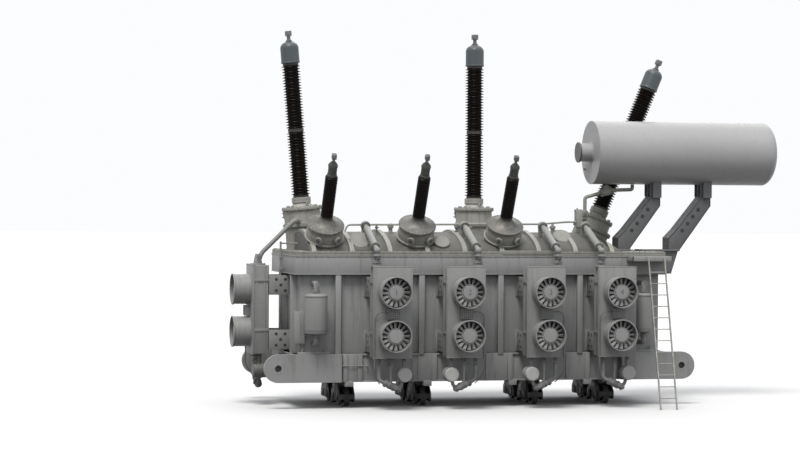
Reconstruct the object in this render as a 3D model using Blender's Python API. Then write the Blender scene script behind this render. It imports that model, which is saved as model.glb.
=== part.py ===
"""Power transformer with five fan coolers, two rows of bushings and an oil conservator.

Metres, +Z up. The long side faces -Y and +X runs to the right along it. The origin is the middle
of the whole machine's outline on the ground, so the wheels stand on Z = 0.
"""

import math

import bmesh
import bpy
from mathutils import Matrix, Vector

# Gaps and facets
TOUCH = 0.0003
ROUND = 16
ROUND_MIDDLE = 12
ROUND_SMALL = 8

# Tank, measured from its own middle on the ground
TANK_LENGTH = 10.2
TANK_WIDTH = 3.6
TANK_BOTTOM = 0.70
LOWER_TIER_TOP = 1.44
GIRDER_BOTTOM = 3.52
GIRDER_TOP = 4.02
WALL_RECESS = 0.18
LOWER_TIER_RECESS = 0.06
RIB_WIDTH = 0.15
RIB_SHY = 0.012
WALL_RIB_X = (-3.93, -1.68, 0.48, 2.68)
END_RIB_Y = (-1.10, 1.10)
LOWER_RIB_X = (-3.62, -1.51, 0.82, 2.90)
LOWER_RIB_WIDTH = 0.38

# Haulage plates at the four lower corners
HAUL_REACH = 0.80
HAUL_ROOT = 1.26
HAUL_THICKNESS = 0.16
HAUL_PROUD = 0.06
HAUL_HOLE = 0.085

# Jacking pads under the lower ribs
PAD_X = (-3.62, -1.51, 0.82, 2.90)
PAD_WIDTH = 0.22
PAD_DEPTH = 0.14
PAD_THICKNESS = 0.12

# Cover
VAULT_LEFT = -4.95
VAULT_RIGHT = 3.90
VAULT_END_SLOPE = 0.62
FLANGE_THICKNESS = 0.11
FLANGE_INSET = 0.02
VAULT_RISE = 0.59
VAULT_HALF_WIDTH = 1.66
VAULT_STEPS = 10
VAULT_ROUNDNESS = 1.85
COVER_RIB_FIRST = -4.57
COVER_RIB_PITCH = 1.02
COVER_RIBS = 9
COVER_RIB_WIDTH = 0.12
COVER_RIB_DEPTH = 0.07
# Hatches by X, Y, radius and lean
HATCHES = ((-3.36, -1.38, 0.20, 45.0), (-1.02, -1.40, 0.19, 45.0), (2.42, -0.60, 0.25, 0.0))
HATCH_HEIGHT = 0.09
HATCH_SINK = 0.20

# Bogies
BOGIE_X = (-3.58, -1.50, 1.60, 3.60)
BOGIE_Y = 0.72
BOGIE_LENGTH = 1.10
BOGIE_BOLSTER = 0.72
BOGIE_WIDTH = 0.46
BOGIE_PLATE = 0.06
WHEEL_RADIUS = 0.25
WHEEL_TREAD = 0.15
WHEEL_SPACING = 0.58
AXLE_RADIUS = 0.06

# High-voltage bushings: X at the tank's top, lean to the right in degrees, and distances along
# the axis from there to the turret's joint and to the foot of the porcelain
HV_PLACES = ((-4.31, -4.9, 0.83, 1.54), (0.42, 0.0, 0.84, 1.53), (3.56, 22.3, 0.77, 1.36))
HV_INSET = 0.76
HV_Y = VAULT_HALF_WIDTH - HV_INSET
HV_BODY_RADIUS = 0.50
HV_FLANGE_RADIUS = 0.55
HV_FLANGE_THICKNESS = 0.08
HV_NECK_RADIUS = 0.235
HV_NECK_HEIGHT = 0.275
HV_NECK_FLANGE = 0.27
HV_NECK_RING = 0.04
HV_CORE_RADIUS = 0.205
HV_SHED_RADIUS = 0.26
HV_PORCELAIN = 3.65
HV_SHEDS = 16
HV_CAP_RADIUS = 0.26
HV_CAP_HEIGHT = 0.60
HV_STEM_RADIUS = 0.05
HV_STEM_HEIGHT = 0.16
TERMINAL_SIZE = 0.16
TERMINAL_HEIGHT = 0.14

# Medium-voltage bushings, leaning towards -Y
MV_X = (-4.21, -1.73, 0.68)
MV_INSET = 0.51
MV_BASE_Y = MV_INSET - VAULT_HALF_WIDTH
MV_BASE_Z = 4.42
MV_LEAN = 32.0
MV_BODY_RADIUS = 0.485
MV_FOOT_RADIUS = 0.40
MV_WAIST_RADIUS = 0.42
MV_COLLAR_HEIGHT = 0.19
MV_BODY_HEIGHT = 0.27
MV_TAPER_HEIGHT = 0.16
MV_DISH_RADIUS = 0.50
MV_DISH_RIM = 0.04
MV_DISH_HEIGHT = 0.26
MV_NECK_RADIUS = 0.17
MV_NOZZLE_RADIUS = 0.085
MV_NOZZLE_REACH = 0.10
MV_NOZZLE_ANGLES = (-22.0, 36.0)
MV_CORE_RADIUS = 0.145
MV_SHED_RADIUS = 0.168
MV_PORCELAIN = 1.28
MV_SHEDS = 8
MV_CAP_RADIUS = 0.13
MV_CAP_HEIGHT = 0.42

# Coolers: the front ones by their middle X, with the side their oil pipes are on, and one on the
# left end by its middle Y
COOLER_X = (-2.67, -0.71, 1.47, 3.43)
COOLER_HANDS = (1, -1, -1, 1)
COOLER_END_Y = 0.0
COOLER_WIDTH = 1.05
COOLER_DEPTH = 0.45
COOLER_STANDOFF = 0.45
COOLER_BOTTOM = 1.365
COOLER_TOP = 3.76
CASING_FLANGE = 0.035
CASING_FLANGE_WIDTH = 0.06
CASING_LIP = 0.02
BRACKET_THICKNESS = 0.03
BRACKET_HEIGHT = 0.52
BRACKET_LEVELS = (1.50, 2.95)
BRACKET_HOLE = 0.045
FAN_Z = (3.09, 1.96)
BARREL_RADIUS = 0.40
BARREL_WALL = 0.012
BARREL_LENGTH = 0.55
BARREL_RIM = 0.018
BARREL_RIM_LENGTH = 0.04
MOTOR_RADIUS = 0.14
SHAFT_RADIUS = 0.03
SHAFT_LENGTH = 0.07

# Fan rotors, sunk into their barrels by the recess
FAN_RECESS = 0.15
FAN_BLADES = 12
FAN_RADIUS = 0.365
FAN_RING_RADIUS = 0.22
FAN_DISC_RADIUS = 0.16
FAN_HUB_DEPTH = 0.09
FAN_DISC_PROUD = 0.03
FAN_BORE_RADIUS = 0.0325
BLADE_CHORD = 0.10
BLADE_THICKNESS = 0.012
BLADE_PITCH = 32.0
MOTOR_LENGTH = BARREL_LENGTH - FAN_RECESS - FAN_HUB_DEPTH - FAN_DISC_PROUD

# Oil pumps under the coolers
PUMP_RADIUS = 0.185
PUMP_LENGTH = 0.36
PUMP_Z = 0.93
PUMP_OFFSET = 0.35
PUMP_PIPE = 0.07
PUMP_BODY_RADIUS = 0.12
PUMP_BODY_Z = 0.66
PUMP_FLANGE = 0.13
PUMP_FLANGE_THICKNESS = 0.035

# Oil pipes from the cooler tops to the cover
RISER_RADIUS = 0.065
RISER_OFFSET = 0.38
RISER_ELBOW_Z = 4.17
RISER_FLANGE = 0.13
RISER_FLANGE_THICKNESS = 0.04
RISER_SLEEVE_RADIUS = 0.10
RISER_END = (-1.00, 4.80)
RISER_STUB_RUN = 0.24
END_RISER_CORNER = (-4.78, 5.02)
END_RISER_RUN = 0.25

# Conservator
CONSERVATOR_RADIUS = 0.87
CONSERVATOR_WALL = 0.012
CONSERVATOR_LEFT = 3.40
CONSERVATOR_LENGTH = 4.95
CONSERVATOR_DISH = 0.29
CONSERVATOR_Y = -0.35
CONSERVATOR_Z = 6.83
CONSERVATOR_END_PLATE = 0.02
DRUM_RADIUS = 0.25
DRUM_LENGTH = 0.38
DRUM_RIM = 0.03
DRUM_RIM_THICKNESS = 0.05

# Inclined supports of the conservator: outline from the foot's left corner, in X and Z
STRUT_FOOT_X = (4.11, 5.57)
STRUT_FOOT_Z = 4.15
STRUT_FOOT_LENGTH = 0.32
STRUT_RUN = 0.98
STRUT_DEPTH_X = 0.24
STRUT_HEAD_LEFT_Z = 5.66
STRUT_HEAD_RIGHT_Z = 5.38
STRUT_HEEL_X = 0.22
STRUT_HEEL_Z = 0.35
STRUT_WIDTH = 0.50
SADDLE_LENGTH = 0.24
SADDLE_PROUD = 0.10
BRACKET_DROP = 0.62

# Conservator pipe
OIL_PIPE_RADIUS = 0.055
OIL_PIPE_X = 3.24
OIL_PIPE_ELBOW_Z = 5.60
OIL_PIPE_TOP_Z = 5.80
OIL_PIPE_END_X = 4.60
OIL_PAD_RADIUS = 0.13
OIL_PAD_HEIGHT = 0.03
RELAY_RADIUS = 0.13
RELAY_LENGTH = 0.30

# Thermosiphon filters on the front wall
FILTER_PLACES = ((-4.57, 0.30), (4.39, 0.215))
FILTER_BOTTOM = 2.02
FILTER_HEIGHT = 0.96
FILTER_DOME = 0.06
FILTER_MIDDLE_Y = -0.21
FILTER_NECK = 0.07
FILTER_NECK_LENGTH = 0.26

# Control box on the front wall
CABINET_LEFT = -5.08
CABINET_BOTTOM = 1.72
CABINET_HEIGHT = 0.83
CABINET_WIDTH = 0.26
CABINET_DEPTH = 0.17

# Landing and ladder at the right end
LANDING_LEFT = 3.98
LANDING_DEPTH = 0.50
LANDING_THICKNESS = 0.13
LADDER_X = 4.42
LADDER_WIDTH = 0.45
LADDER_RUN = 1.10
LADDER_STILE = 0.05
RUNG_PITCH = 0.30
RUNG_RADIUS = 0.014

COLOURS = {
    "tank_paint": ((0.36, 0.37, 0.37, 1.0), 0.55, 0.0),
    "cover_paint": ((0.42, 0.42, 0.39, 1.0), 0.62, 0.0),
    "cooler_paint": ((0.45, 0.46, 0.45, 1.0), 0.50, 0.0),
    "conservator_paint": ((0.58, 0.57, 0.58, 1.0), 0.45, 0.0),
    "strut_paint": ((0.22, 0.23, 0.25, 1.0), 0.60, 0.0),
    "porcelain": ((0.035, 0.022, 0.020, 1.0), 0.25, 0.0),
    "cap_paint": ((0.42, 0.49, 0.55, 1.0), 0.45, 0.0),
    "galvanised": ((0.52, 0.50, 0.46, 1.0), 0.60, 0.3),
    "bogie_steel": ((0.035, 0.035, 0.037, 1.0), 0.75, 0.2),
}


def box(low, high):
    """A box between two corners."""
    shape = bmesh.new()
    bmesh.ops.create_cube(shape, size=1.0)
    size = Vector(high) - Vector(low)
    middle = (Vector(high) + Vector(low)) / 2
    stretch = Matrix.Translation(middle) @ Matrix.Diagonal(size.to_4d())
    bmesh.ops.transform(shape, matrix=stretch, verts=shape.verts)
    return shape


def prism(outline, low, high, along="Z"):
    """An outline of (u, v) points extruded along an axis, u and v being the other two in X, Y, Z order."""
    order = {"X": (2, 0, 1), "Y": (0, 2, 1), "Z": (0, 1, 2)}[along]
    shape = bmesh.new()
    points = [(u, v, low) for u, v in outline]
    verts = [shape.verts.new([point[i] for i in order]) for point in points]
    face = shape.faces.new(verts)
    step = Vector([(0, 0, high - low)[i] for i in order])
    moved = bmesh.ops.extrude_face_region(shape, geom=[face])["geom"]
    far = [part for part in moved if isinstance(part, bmesh.types.BMVert)]
    bmesh.ops.translate(shape, vec=step, verts=far)
    bmesh.ops.recalc_face_normals(shape, faces=shape.faces)
    return shape


def turned(profile, segments=ROUND, ring=False):
    """A profile of (radius, height) points spun about Z, from axis to axis or closed as a ring."""
    shape = bmesh.new()
    verts = [shape.verts.new((radius, 0, height)) for radius, height in profile]
    edges = [shape.edges.new(pair) for pair in zip(verts, verts[1:])]
    if ring:
        edges.append(shape.edges.new((verts[-1], verts[0])))
    bmesh.ops.spin(
        shape,
        geom=verts + edges,
        cent=(0, 0, 0),
        axis=(0, 0, 1),
        angle=math.tau,
        steps=segments,
        use_merge=True,
    )
    bmesh.ops.remove_doubles(shape, verts=shape.verts, dist=1e-6)
    bmesh.ops.recalc_face_normals(shape, faces=shape.faces)
    half_facet = Matrix.Rotation(math.pi / segments, 4, "Z")
    bmesh.ops.transform(shape, matrix=half_facet, verts=shape.verts)
    return shape


def cylinder(radius, low, high, segments=ROUND):
    """A solid cylinder along Z."""
    return turned([(0, low), (radius, low), (radius, high), (0, high)], segments)


def pipe(points, radius, segments=ROUND_SMALL):
    """A round bar along straight runs, mitred where they meet."""
    path = [Vector(point) for point in points]
    runs = [(b - a).normalized() for a, b in zip(path, path[1:])]
    aside = runs[0].orthogonal().normalized()
    upward = runs[0].cross(aside)
    turns = [math.tau * i / segments for i in range(segments)]
    ring = [path[0] + radius * (math.cos(turn) * aside + math.sin(turn) * upward) for turn in turns]
    rings = [ring]
    for i, run in enumerate(runs):
        following = runs[min(i + 1, len(runs) - 1)]
        normal = (run + following).normalized()
        ring = [point + run * ((path[i + 1] - point).dot(normal) / run.dot(normal)) for point in ring]
        rings.append(ring)
    shape = bmesh.new()
    loops = [[shape.verts.new(point) for point in ring] for ring in rings]
    for near, far in zip(loops, loops[1:]):
        for i in range(segments):
            shape.faces.new((near[i - 1], near[i], far[i], far[i - 1]))
    shape.faces.new(loops[0][::-1])
    shape.faces.new(loops[-1])
    bmesh.ops.recalc_face_normals(shape, faces=shape.faces)
    return shape


def moved(shape, matrix):
    bmesh.ops.transform(shape, matrix=matrix, verts=shape.verts)
    return shape


def shifted(shape, x=0.0, y=0.0, z=0.0):
    return moved(shape, Matrix.Translation((x, y, z)))


def along_y(shape):
    """Turns a shape made along +Z so that it points along -Y."""
    return moved(shape, Matrix.Rotation(math.pi / 2, 4, "X"))


def along_x(shape):
    """Turns a shape made along +Z so that it points along +X."""
    return moved(shape, Matrix.Rotation(math.pi / 2, 4, "Y"))


def shape_of(mesh):
    shape = bmesh.new()
    shape.from_mesh(mesh)
    return shape


def object_of(name, shape):
    mesh = bpy.data.meshes.new(name)
    shape.to_mesh(mesh)
    shape.free()
    return bpy.data.objects.new(name, mesh)


def fused(name, shapes, cuts=()):
    """One mesh: the union of overlapping shapes, less the cuts."""
    body = object_of(name, shapes[0])
    bpy.context.scene.collection.objects.link(body)
    helpers = []
    for operation, others in (("UNION", shapes[1:]), ("DIFFERENCE", cuts)):
        if not others:
            continue
        group = bpy.data.collections.new(f"{name}_{operation.lower()}")
        bpy.context.scene.collection.children.link(group)
        for other in others:
            helper = object_of(f"{name}_helper", other)
            helper.hide_render = True
            helper.display_type = "WIRE"
            group.objects.link(helper)
            helpers.append(helper)
        joint = body.modifiers.new(operation.title(), "BOOLEAN")
        joint.operation = operation
        joint.operand_type = "COLLECTION"
        joint.collection = group
        joint.solver = "EXACT"
    bpy.context.view_layer.update()
    graph = bpy.context.evaluated_depsgraph_get()
    mesh = bpy.data.meshes.new_from_object(body.evaluated_get(graph))
    for used in helpers + [body]:
        bpy.data.objects.remove(used)
    for group in list(bpy.data.collections):
        bpy.data.collections.remove(group)
    mesh.name = name
    mesh.shade_smooth()
    mesh.set_sharp_from_angle(angle=math.radians(35))
    return mesh


def material(name):
    colour, roughness, metallic = COLOURS[name]
    paint = bpy.data.materials.get(name)
    if paint is None:
        paint = bpy.data.materials.new(name)
        paint.use_nodes = True
        shader = paint.node_tree.nodes["Principled BSDF"]
        shader.inputs["Base Color"].default_value = colour
        shader.inputs["Roughness"].default_value = roughness
        shader.inputs["Metallic"].default_value = metallic
    return paint


def place(name, mesh, paint, parent, location=(0, 0, 0), rotation=(0, 0, 0)):
    """A named sub-part at its place in the tank's frame."""
    part = bpy.data.objects.new(name, mesh)
    if not mesh.materials:
        mesh.materials.append(material(paint))
    part.parent = parent
    part.location = location
    part.rotation_euler = rotation
    bpy.context.scene.collection.objects.link(part)
    return part


def arc(middle, radius, start, end, steps):
    """Points on an arc, with angles in degrees."""
    turns = [math.radians(start + (end - start) * i / steps) for i in range(steps + 1)]
    return [(middle[0] + radius * math.cos(turn), middle[1] + radius * math.sin(turn)) for turn in turns]


def vault_height(y, rise):
    """Height of the arched cover above its flange at a distance y from the middle line."""
    share = min(1.0, abs(y) / VAULT_HALF_WIDTH)
    return rise * (1 - share**VAULT_ROUNDNESS) ** (1 / VAULT_ROUNDNESS)


def vault_outline(proud=0.0):
    """The arch in Y and Z, closed below inside the flange."""
    flange_top = GIRDER_TOP + TOUCH + FLANGE_THICKNESS
    reach = VAULT_HALF_WIDTH + proud
    turns = [math.pi * i / VAULT_STEPS for i in range(VAULT_STEPS + 1)]
    power = 2 / VAULT_ROUNDNESS
    points = []
    for turn in turns:
        across = math.copysign(abs(math.cos(turn)) ** power, math.cos(turn))
        up = abs(math.sin(turn)) ** power
        points.append((reach * across, flange_top - 0.03 + (VAULT_RISE + 0.03 + proud) * up))
    return points


def haulage_plate(side, end):
    """A plate with a round eye, on one long side and at one end of the tank."""
    radius = (LOWER_TIER_TOP - TANK_BOTTOM) / 2 - TOUCH
    middle_z = (LOWER_TIER_TOP + TANK_BOTTOM) / 2
    eye_x = TANK_LENGTH / 2 + HAUL_REACH - radius
    root_x = TANK_LENGTH / 2 - HAUL_ROOT
    round_end = arc((eye_x, middle_z), radius, -90, 90, 8)
    outline = [(root_x, middle_z - radius)] + round_end + [(root_x, middle_z + radius)]
    outline = [(end * x, z) for x, z in outline]
    outer = TANK_WIDTH / 2 + HAUL_PROUD
    span = sorted((side * outer, side * (outer - HAUL_THICKNESS)))
    plate = prism(outline, span[0], span[1], "Y")
    reach = 2 * HAUL_THICKNESS
    hole = along_y(cylinder(HAUL_HOLE, -reach, reach, ROUND_MIDDLE))
    hole = shifted(hole, x=end * eye_x, y=side * outer, z=middle_z)
    return plate, hole


def tank_body():
    """The welded tank: lower tier, recessed wall, box girder, ribs, haulage plates and jacking pads."""
    half_length = TANK_LENGTH / 2
    half_width = TANK_WIDTH / 2
    wall_x = half_length - WALL_RECESS
    wall_y = half_width - WALL_RECESS
    lower_y = half_width - LOWER_TIER_RECESS
    shapes = [
        box((-half_length, -lower_y, TANK_BOTTOM), (half_length, lower_y, LOWER_TIER_TOP)),
        box((-wall_x, -wall_y, LOWER_TIER_TOP - 0.1), (wall_x, wall_y, GIRDER_BOTTOM + 0.1)),
        box((-half_length, -half_width, GIRDER_BOTTOM), (half_length, half_width, GIRDER_TOP)),
    ]
    cuts = []
    rib_y = half_width - RIB_SHY
    for x in WALL_RIB_X:
        low = (x - RIB_WIDTH / 2, -rib_y, LOWER_TIER_TOP - 0.05)
        shapes.append(box(low, (x + RIB_WIDTH / 2, rib_y, GIRDER_BOTTOM + 0.05)))
    rib_x = half_length - RIB_SHY
    for y in END_RIB_Y:
        low = (-rib_x, y - RIB_WIDTH / 2, LOWER_TIER_TOP - 0.05)
        shapes.append(box(low, (rib_x, y + RIB_WIDTH / 2, GIRDER_BOTTOM + 0.05)))
    for x in LOWER_RIB_X:
        low = (x - LOWER_RIB_WIDTH / 2, -rib_y, TANK_BOTTOM + 0.01)
        shapes.append(box(low, (x + LOWER_RIB_WIDTH / 2, rib_y, LOWER_TIER_TOP - 0.01)))
    for x in PAD_X:
        for side in (-1, 1):
            middle_y = side * (rib_y - 0.002 - PAD_DEPTH / 2)
            low = (x - PAD_WIDTH / 2, middle_y - PAD_DEPTH / 2, TANK_BOTTOM - PAD_THICKNESS)
            high = (x + PAD_WIDTH / 2, middle_y + PAD_DEPTH / 2, TANK_BOTTOM + 0.05)
            shapes.append(box(low, high))
    low = (CABINET_LEFT, -wall_y - CABINET_DEPTH, CABINET_BOTTOM)
    high = (CABINET_LEFT + CABINET_WIDTH, -wall_y + 0.05, CABINET_BOTTOM + CABINET_HEIGHT)
    shapes.append(box(low, high))
    for side in (-1, 1):
        for end in (-1, 1):
            plate, hole = haulage_plate(side, end)
            shapes.append(plate)
            cuts.append(hole)
    return fused("tank_body", shapes, cuts)


def hv_axis(place_of):
    """Matrix from a high-voltage bushing's own frame, up its axis from the cover joint, to the tank's."""
    x, lean, _, _ = place_of
    return Matrix.Translation((x, HV_Y, GIRDER_TOP)) @ Matrix.Rotation(math.radians(lean), 4, "Y")


def mv_axis(x):
    """Matrix from a medium-voltage bushing's own frame, up its axis from the base disc, to the tank's."""
    base = Vector((x, MV_BASE_Y, MV_BASE_Z))
    return Matrix.Translation(base) @ Matrix.Rotation(math.radians(MV_LEAN), 4, "X")


def tank_cover():
    """The cover: flange, arched vault with its ribs, hatches, and the collars that carry the turrets."""
    flange_low = GIRDER_TOP + TOUCH
    flange_top = flange_low + FLANGE_THICKNESS
    half_width = TANK_WIDTH / 2 - FLANGE_INSET
    right = TANK_LENGTH / 2 - FLANGE_INSET
    shapes = [
        box((-right, -half_width, flange_low), (right, half_width, flange_top)),
        prism(vault_outline(), VAULT_LEFT, VAULT_RIGHT, "X"),
    ]
    slope = [
        (VAULT_RIGHT - VAULT_END_SLOPE, flange_top + VAULT_RISE + COVER_RIB_DEPTH + 0.01),
        (VAULT_RIGHT + 0.01, flange_top + 0.02),
        (VAULT_RIGHT + 0.01, flange_top + VAULT_RISE + COVER_RIB_DEPTH + 0.01),
    ]
    vault_end = prism(slope, -TANK_WIDTH, TANK_WIDTH, "Y")
    for i in range(COVER_RIBS):
        left = COVER_RIB_FIRST + i * COVER_RIB_PITCH - COVER_RIB_WIDTH / 2
        shapes.append(prism(vault_outline(COVER_RIB_DEPTH), left, left + COVER_RIB_WIDTH, "X"))
    arch = fused("tank_cover", shapes, [vault_end])
    shapes = [shape_of(arch)]
    for x, y, radius, lean in HATCHES:
        tilt = Matrix.Rotation(math.radians(lean), 4, "X")
        foot = Matrix.Translation((x, y, flange_top + vault_height(y, VAULT_RISE)))
        shapes.append(moved(cylinder(radius, -HATCH_SINK, HATCH_HEIGHT, ROUND_MIDDLE), foot @ tilt))
    for x, hand in zip(COOLER_X, COOLER_HANDS):
        shapes += riser_stub(x - hand * RISER_OFFSET)
    pad_top = flange_top + VAULT_RISE + OIL_PAD_HEIGHT
    pad = cylinder(OIL_PAD_RADIUS, pad_top - 0.25, pad_top, ROUND_SMALL)
    shapes.append(shifted(pad, x=OIL_PIPE_X, y=CONSERVATOR_Y))
    cuts = [box((-TANK_LENGTH, -TANK_WIDTH, GIRDER_BOTTOM), (TANK_LENGTH, TANK_WIDTH, flange_low))]
    for place_of in HV_PLACES:
        top = place_of[2]
        collar = [
            (0, 0.0),
            (HV_BODY_RADIUS, 0.0),
            (HV_BODY_RADIUS, top - HV_FLANGE_THICKNESS),
            (HV_FLANGE_RADIUS, top - HV_FLANGE_THICKNESS),
            (HV_FLANGE_RADIUS, top),
            (0, top),
        ]
        shapes.append(moved(turned(collar), hv_axis(place_of)))
    for x in MV_X:
        top = MV_COLLAR_HEIGHT
        collar = [
            (0, -0.45),
            (MV_FOOT_RADIUS - 0.10, -0.45),
            (MV_FOOT_RADIUS, -0.03),
            (MV_BODY_RADIUS, 0.05),
            (MV_BODY_RADIUS, top),
            (0, top),
        ]
        shapes.append(moved(turned(collar), mv_axis(x)))
    return fused("tank_cover", shapes, cuts)


def hv_turret(place_of):
    """Drum with bolted foot and top rings and a narrow neck, from the cover's collar to the porcelain."""
    _, _, low, high = place_of
    low += TOUCH
    shoulder = high - HV_NECK_HEIGHT
    profile = [
        (0, low),
        (HV_FLANGE_RADIUS, low),
        (HV_FLANGE_RADIUS, low + HV_FLANGE_THICKNESS),
        (HV_BODY_RADIUS, low + HV_FLANGE_THICKNESS),
        (HV_BODY_RADIUS, shoulder - HV_FLANGE_THICKNESS),
        (HV_FLANGE_RADIUS, shoulder - HV_FLANGE_THICKNESS),
        (HV_FLANGE_RADIUS, shoulder),
        (HV_NECK_RADIUS, shoulder),
        (HV_NECK_RADIUS, high - HV_NECK_RING),
        (HV_NECK_FLANGE, high - HV_NECK_RING),
        (HV_NECK_FLANGE, high),
        (0, high),
    ]
    shapes = [turned(profile)]
    if place_of == HV_PLACES[0]:
        shapes += end_riser_stub()
    return fused("hv_turret", shapes)


def sheds(core, radius, length, count, segments):
    """Turned porcelain with evenly pitched sheds, from height 0."""
    pitch = length / count
    profile = [(0, 0)]
    for i in range(count):
        profile += [(core, i * pitch), (radius, (i + 0.35) * pitch)]
    profile += [(core, length), (0, length)]
    return turned(profile, segments)


def hv_cap():
    """Round head cap with its stem and square terminal, from height 0."""
    top = HV_CAP_HEIGHT
    profile = [
        (0, 0),
        (HV_CAP_RADIUS, 0),
        (HV_CAP_RADIUS, top * 0.72),
        (HV_CAP_RADIUS * 0.80, top * 0.90),
        (HV_CAP_RADIUS * 0.40, top),
        (HV_STEM_RADIUS, top),
        (HV_STEM_RADIUS, top + HV_STEM_HEIGHT),
        (0, top + HV_STEM_HEIGHT),
    ]
    half = TERMINAL_SIZE / 2
    low = top + HV_STEM_HEIGHT - 0.02
    clamp = box((-half, -half, low), (half, half, low + TERMINAL_HEIGHT))
    return fused("hv_cap", [turned(profile, ROUND_MIDDLE), clamp])


def mv_turret():
    """Turret body with two oil nozzles and a wide dish that narrows to the bushing's neck."""
    low = MV_COLLAR_HEIGHT + TOUCH
    shoulder = low + MV_BODY_HEIGHT
    profile = [
        (0, low),
        (MV_BODY_RADIUS, low),
        (MV_BODY_RADIUS, shoulder - MV_TAPER_HEIGHT),
        (MV_WAIST_RADIUS, shoulder),
        (MV_DISH_RADIUS, shoulder),
        (MV_DISH_RADIUS, shoulder + MV_DISH_RIM),
        (MV_NECK_RADIUS * 1.35, shoulder + MV_DISH_HEIGHT * 0.72),
        (MV_NECK_RADIUS, shoulder + MV_DISH_HEIGHT),
        (0, shoulder + MV_DISH_HEIGHT),
    ]
    shapes = [turned(profile)]
    middle = low + MV_NOZZLE_RADIUS + 0.005
    reach = MV_BODY_RADIUS + MV_NOZZLE_REACH
    for angle in MV_NOZZLE_ANGLES:
        nozzle = along_y(cylinder(MV_NOZZLE_RADIUS, MV_BODY_RADIUS * 0.5, reach, ROUND_SMALL))
        shapes.append(moved(shifted(nozzle, z=middle), Matrix.Rotation(math.radians(angle), 4, "Z")))
    return fused("mv_turret", shapes)


def mv_bushing():
    """Porcelain, head cap and square terminal of a medium-voltage bushing, from height 0."""
    cap_low = MV_PORCELAIN - 0.02
    cap_top = MV_PORCELAIN + MV_CAP_HEIGHT
    cap = [
        (0, cap_low),
        (MV_CAP_RADIUS, cap_low),
        (MV_CAP_RADIUS, cap_top - 0.08),
        (MV_CAP_RADIUS * 0.4, cap_top),
        (MV_CAP_RADIUS * 0.4, cap_top + 0.10),
        (0, cap_top + 0.10),
    ]
    half = TERMINAL_SIZE * 0.375
    clamp = box((-half, -half, cap_top + 0.08), (half, half, cap_top + 0.08 + TERMINAL_HEIGHT))
    core = sheds(MV_CORE_RADIUS, MV_SHED_RADIUS, MV_PORCELAIN, MV_SHEDS, ROUND_SMALL)
    return fused("mv_bushing", [core, turned(cap, ROUND_SMALL), clamp])


def cooler_casing():
    """Cooler casing, two fan barrels with motors and shafts, and four bracket plates to the tank wall.

    Its own frame has the tank's outer face at y = 0 and the fans towards -y.
    """
    back = -COOLER_STANDOFF
    front = back - COOLER_DEPTH
    half = COOLER_WIDTH / 2
    inside = half - CASING_FLANGE
    shapes = [
        box((-inside, front + 0.01, COOLER_BOTTOM + CASING_LIP), (inside, back, COOLER_TOP - CASING_LIP)),
        box((-half, front, COOLER_BOTTOM), (half, front + CASING_FLANGE_WIDTH, COOLER_TOP)),
    ]
    inner = BARREL_RADIUS - BARREL_WALL
    lip = BARREL_RADIUS + BARREL_RIM
    barrel = [
        (BARREL_RADIUS, -0.03),
        (BARREL_RADIUS, BARREL_LENGTH - BARREL_RIM_LENGTH),
        (lip, BARREL_LENGTH - BARREL_RIM_LENGTH),
        (lip, BARREL_LENGTH),
        (inner, BARREL_LENGTH),
        (inner, -0.03),
    ]
    motor = [
        (0, -0.04),
        (MOTOR_RADIUS, -0.04),
        (MOTOR_RADIUS, MOTOR_LENGTH),
        (SHAFT_RADIUS, MOTOR_LENGTH),
        (SHAFT_RADIUS, MOTOR_LENGTH + SHAFT_LENGTH),
        (0, MOTOR_LENGTH + SHAFT_LENGTH),
    ]
    for z in FAN_Z:
        shapes.append(shifted(along_y(turned(barrel, ROUND, ring=True)), y=front, z=z))
        shapes.append(shifted(along_y(turned(motor, ROUND_SMALL)), y=front, z=z))
    wall = WALL_RECESS - TOUCH
    cuts = []
    for low in BRACKET_LEVELS:
        for side in (-1, 1):
            span = sorted((side * (inside + 0.012), side * (inside - BRACKET_THICKNESS)))
            shapes.append(box((span[0], back - 0.03, low), (span[1], wall, low + BRACKET_HEIGHT)))
        hole = along_x(cylinder(BRACKET_HOLE, -half, half, 6))
        cuts.append(shifted(hole, y=(back + wall) / 2, z=low + BRACKET_HEIGHT / 2))
    return fused("cooler_casing", shapes, cuts)


def fan_rotor():
    """Fan rotor about its own Z, its back at z = 0: stepped hub with a blind bore, and pitched blades."""
    front = FAN_HUB_DEPTH + FAN_DISC_PROUD
    hub = [
        (0, SHAFT_LENGTH),
        (FAN_BORE_RADIUS, SHAFT_LENGTH),
        (FAN_BORE_RADIUS, 0),
        (FAN_RING_RADIUS, 0),
        (FAN_RING_RADIUS, FAN_HUB_DEPTH),
        (FAN_DISC_RADIUS, FAN_HUB_DEPTH),
        (FAN_DISC_RADIUS, front),
        (0, front),
    ]
    shapes = [turned(hub, FAN_BLADES)]
    for i in range(FAN_BLADES):
        low = (FAN_RING_RADIUS - 0.02, -BLADE_CHORD / 2, -BLADE_THICKNESS / 2)
        blade = box(low, (FAN_RADIUS, BLADE_CHORD / 2, BLADE_THICKNESS / 2))
        pitched = moved(blade, Matrix.Rotation(math.radians(BLADE_PITCH), 4, "X"))
        turn = Matrix.Rotation(math.tau * i / FAN_BLADES, 4, "Z")
        shapes.append(moved(shifted(pitched, z=FAN_HUB_DEPTH / 2), turn))
    return fused("fan_rotor", shapes)


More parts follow.
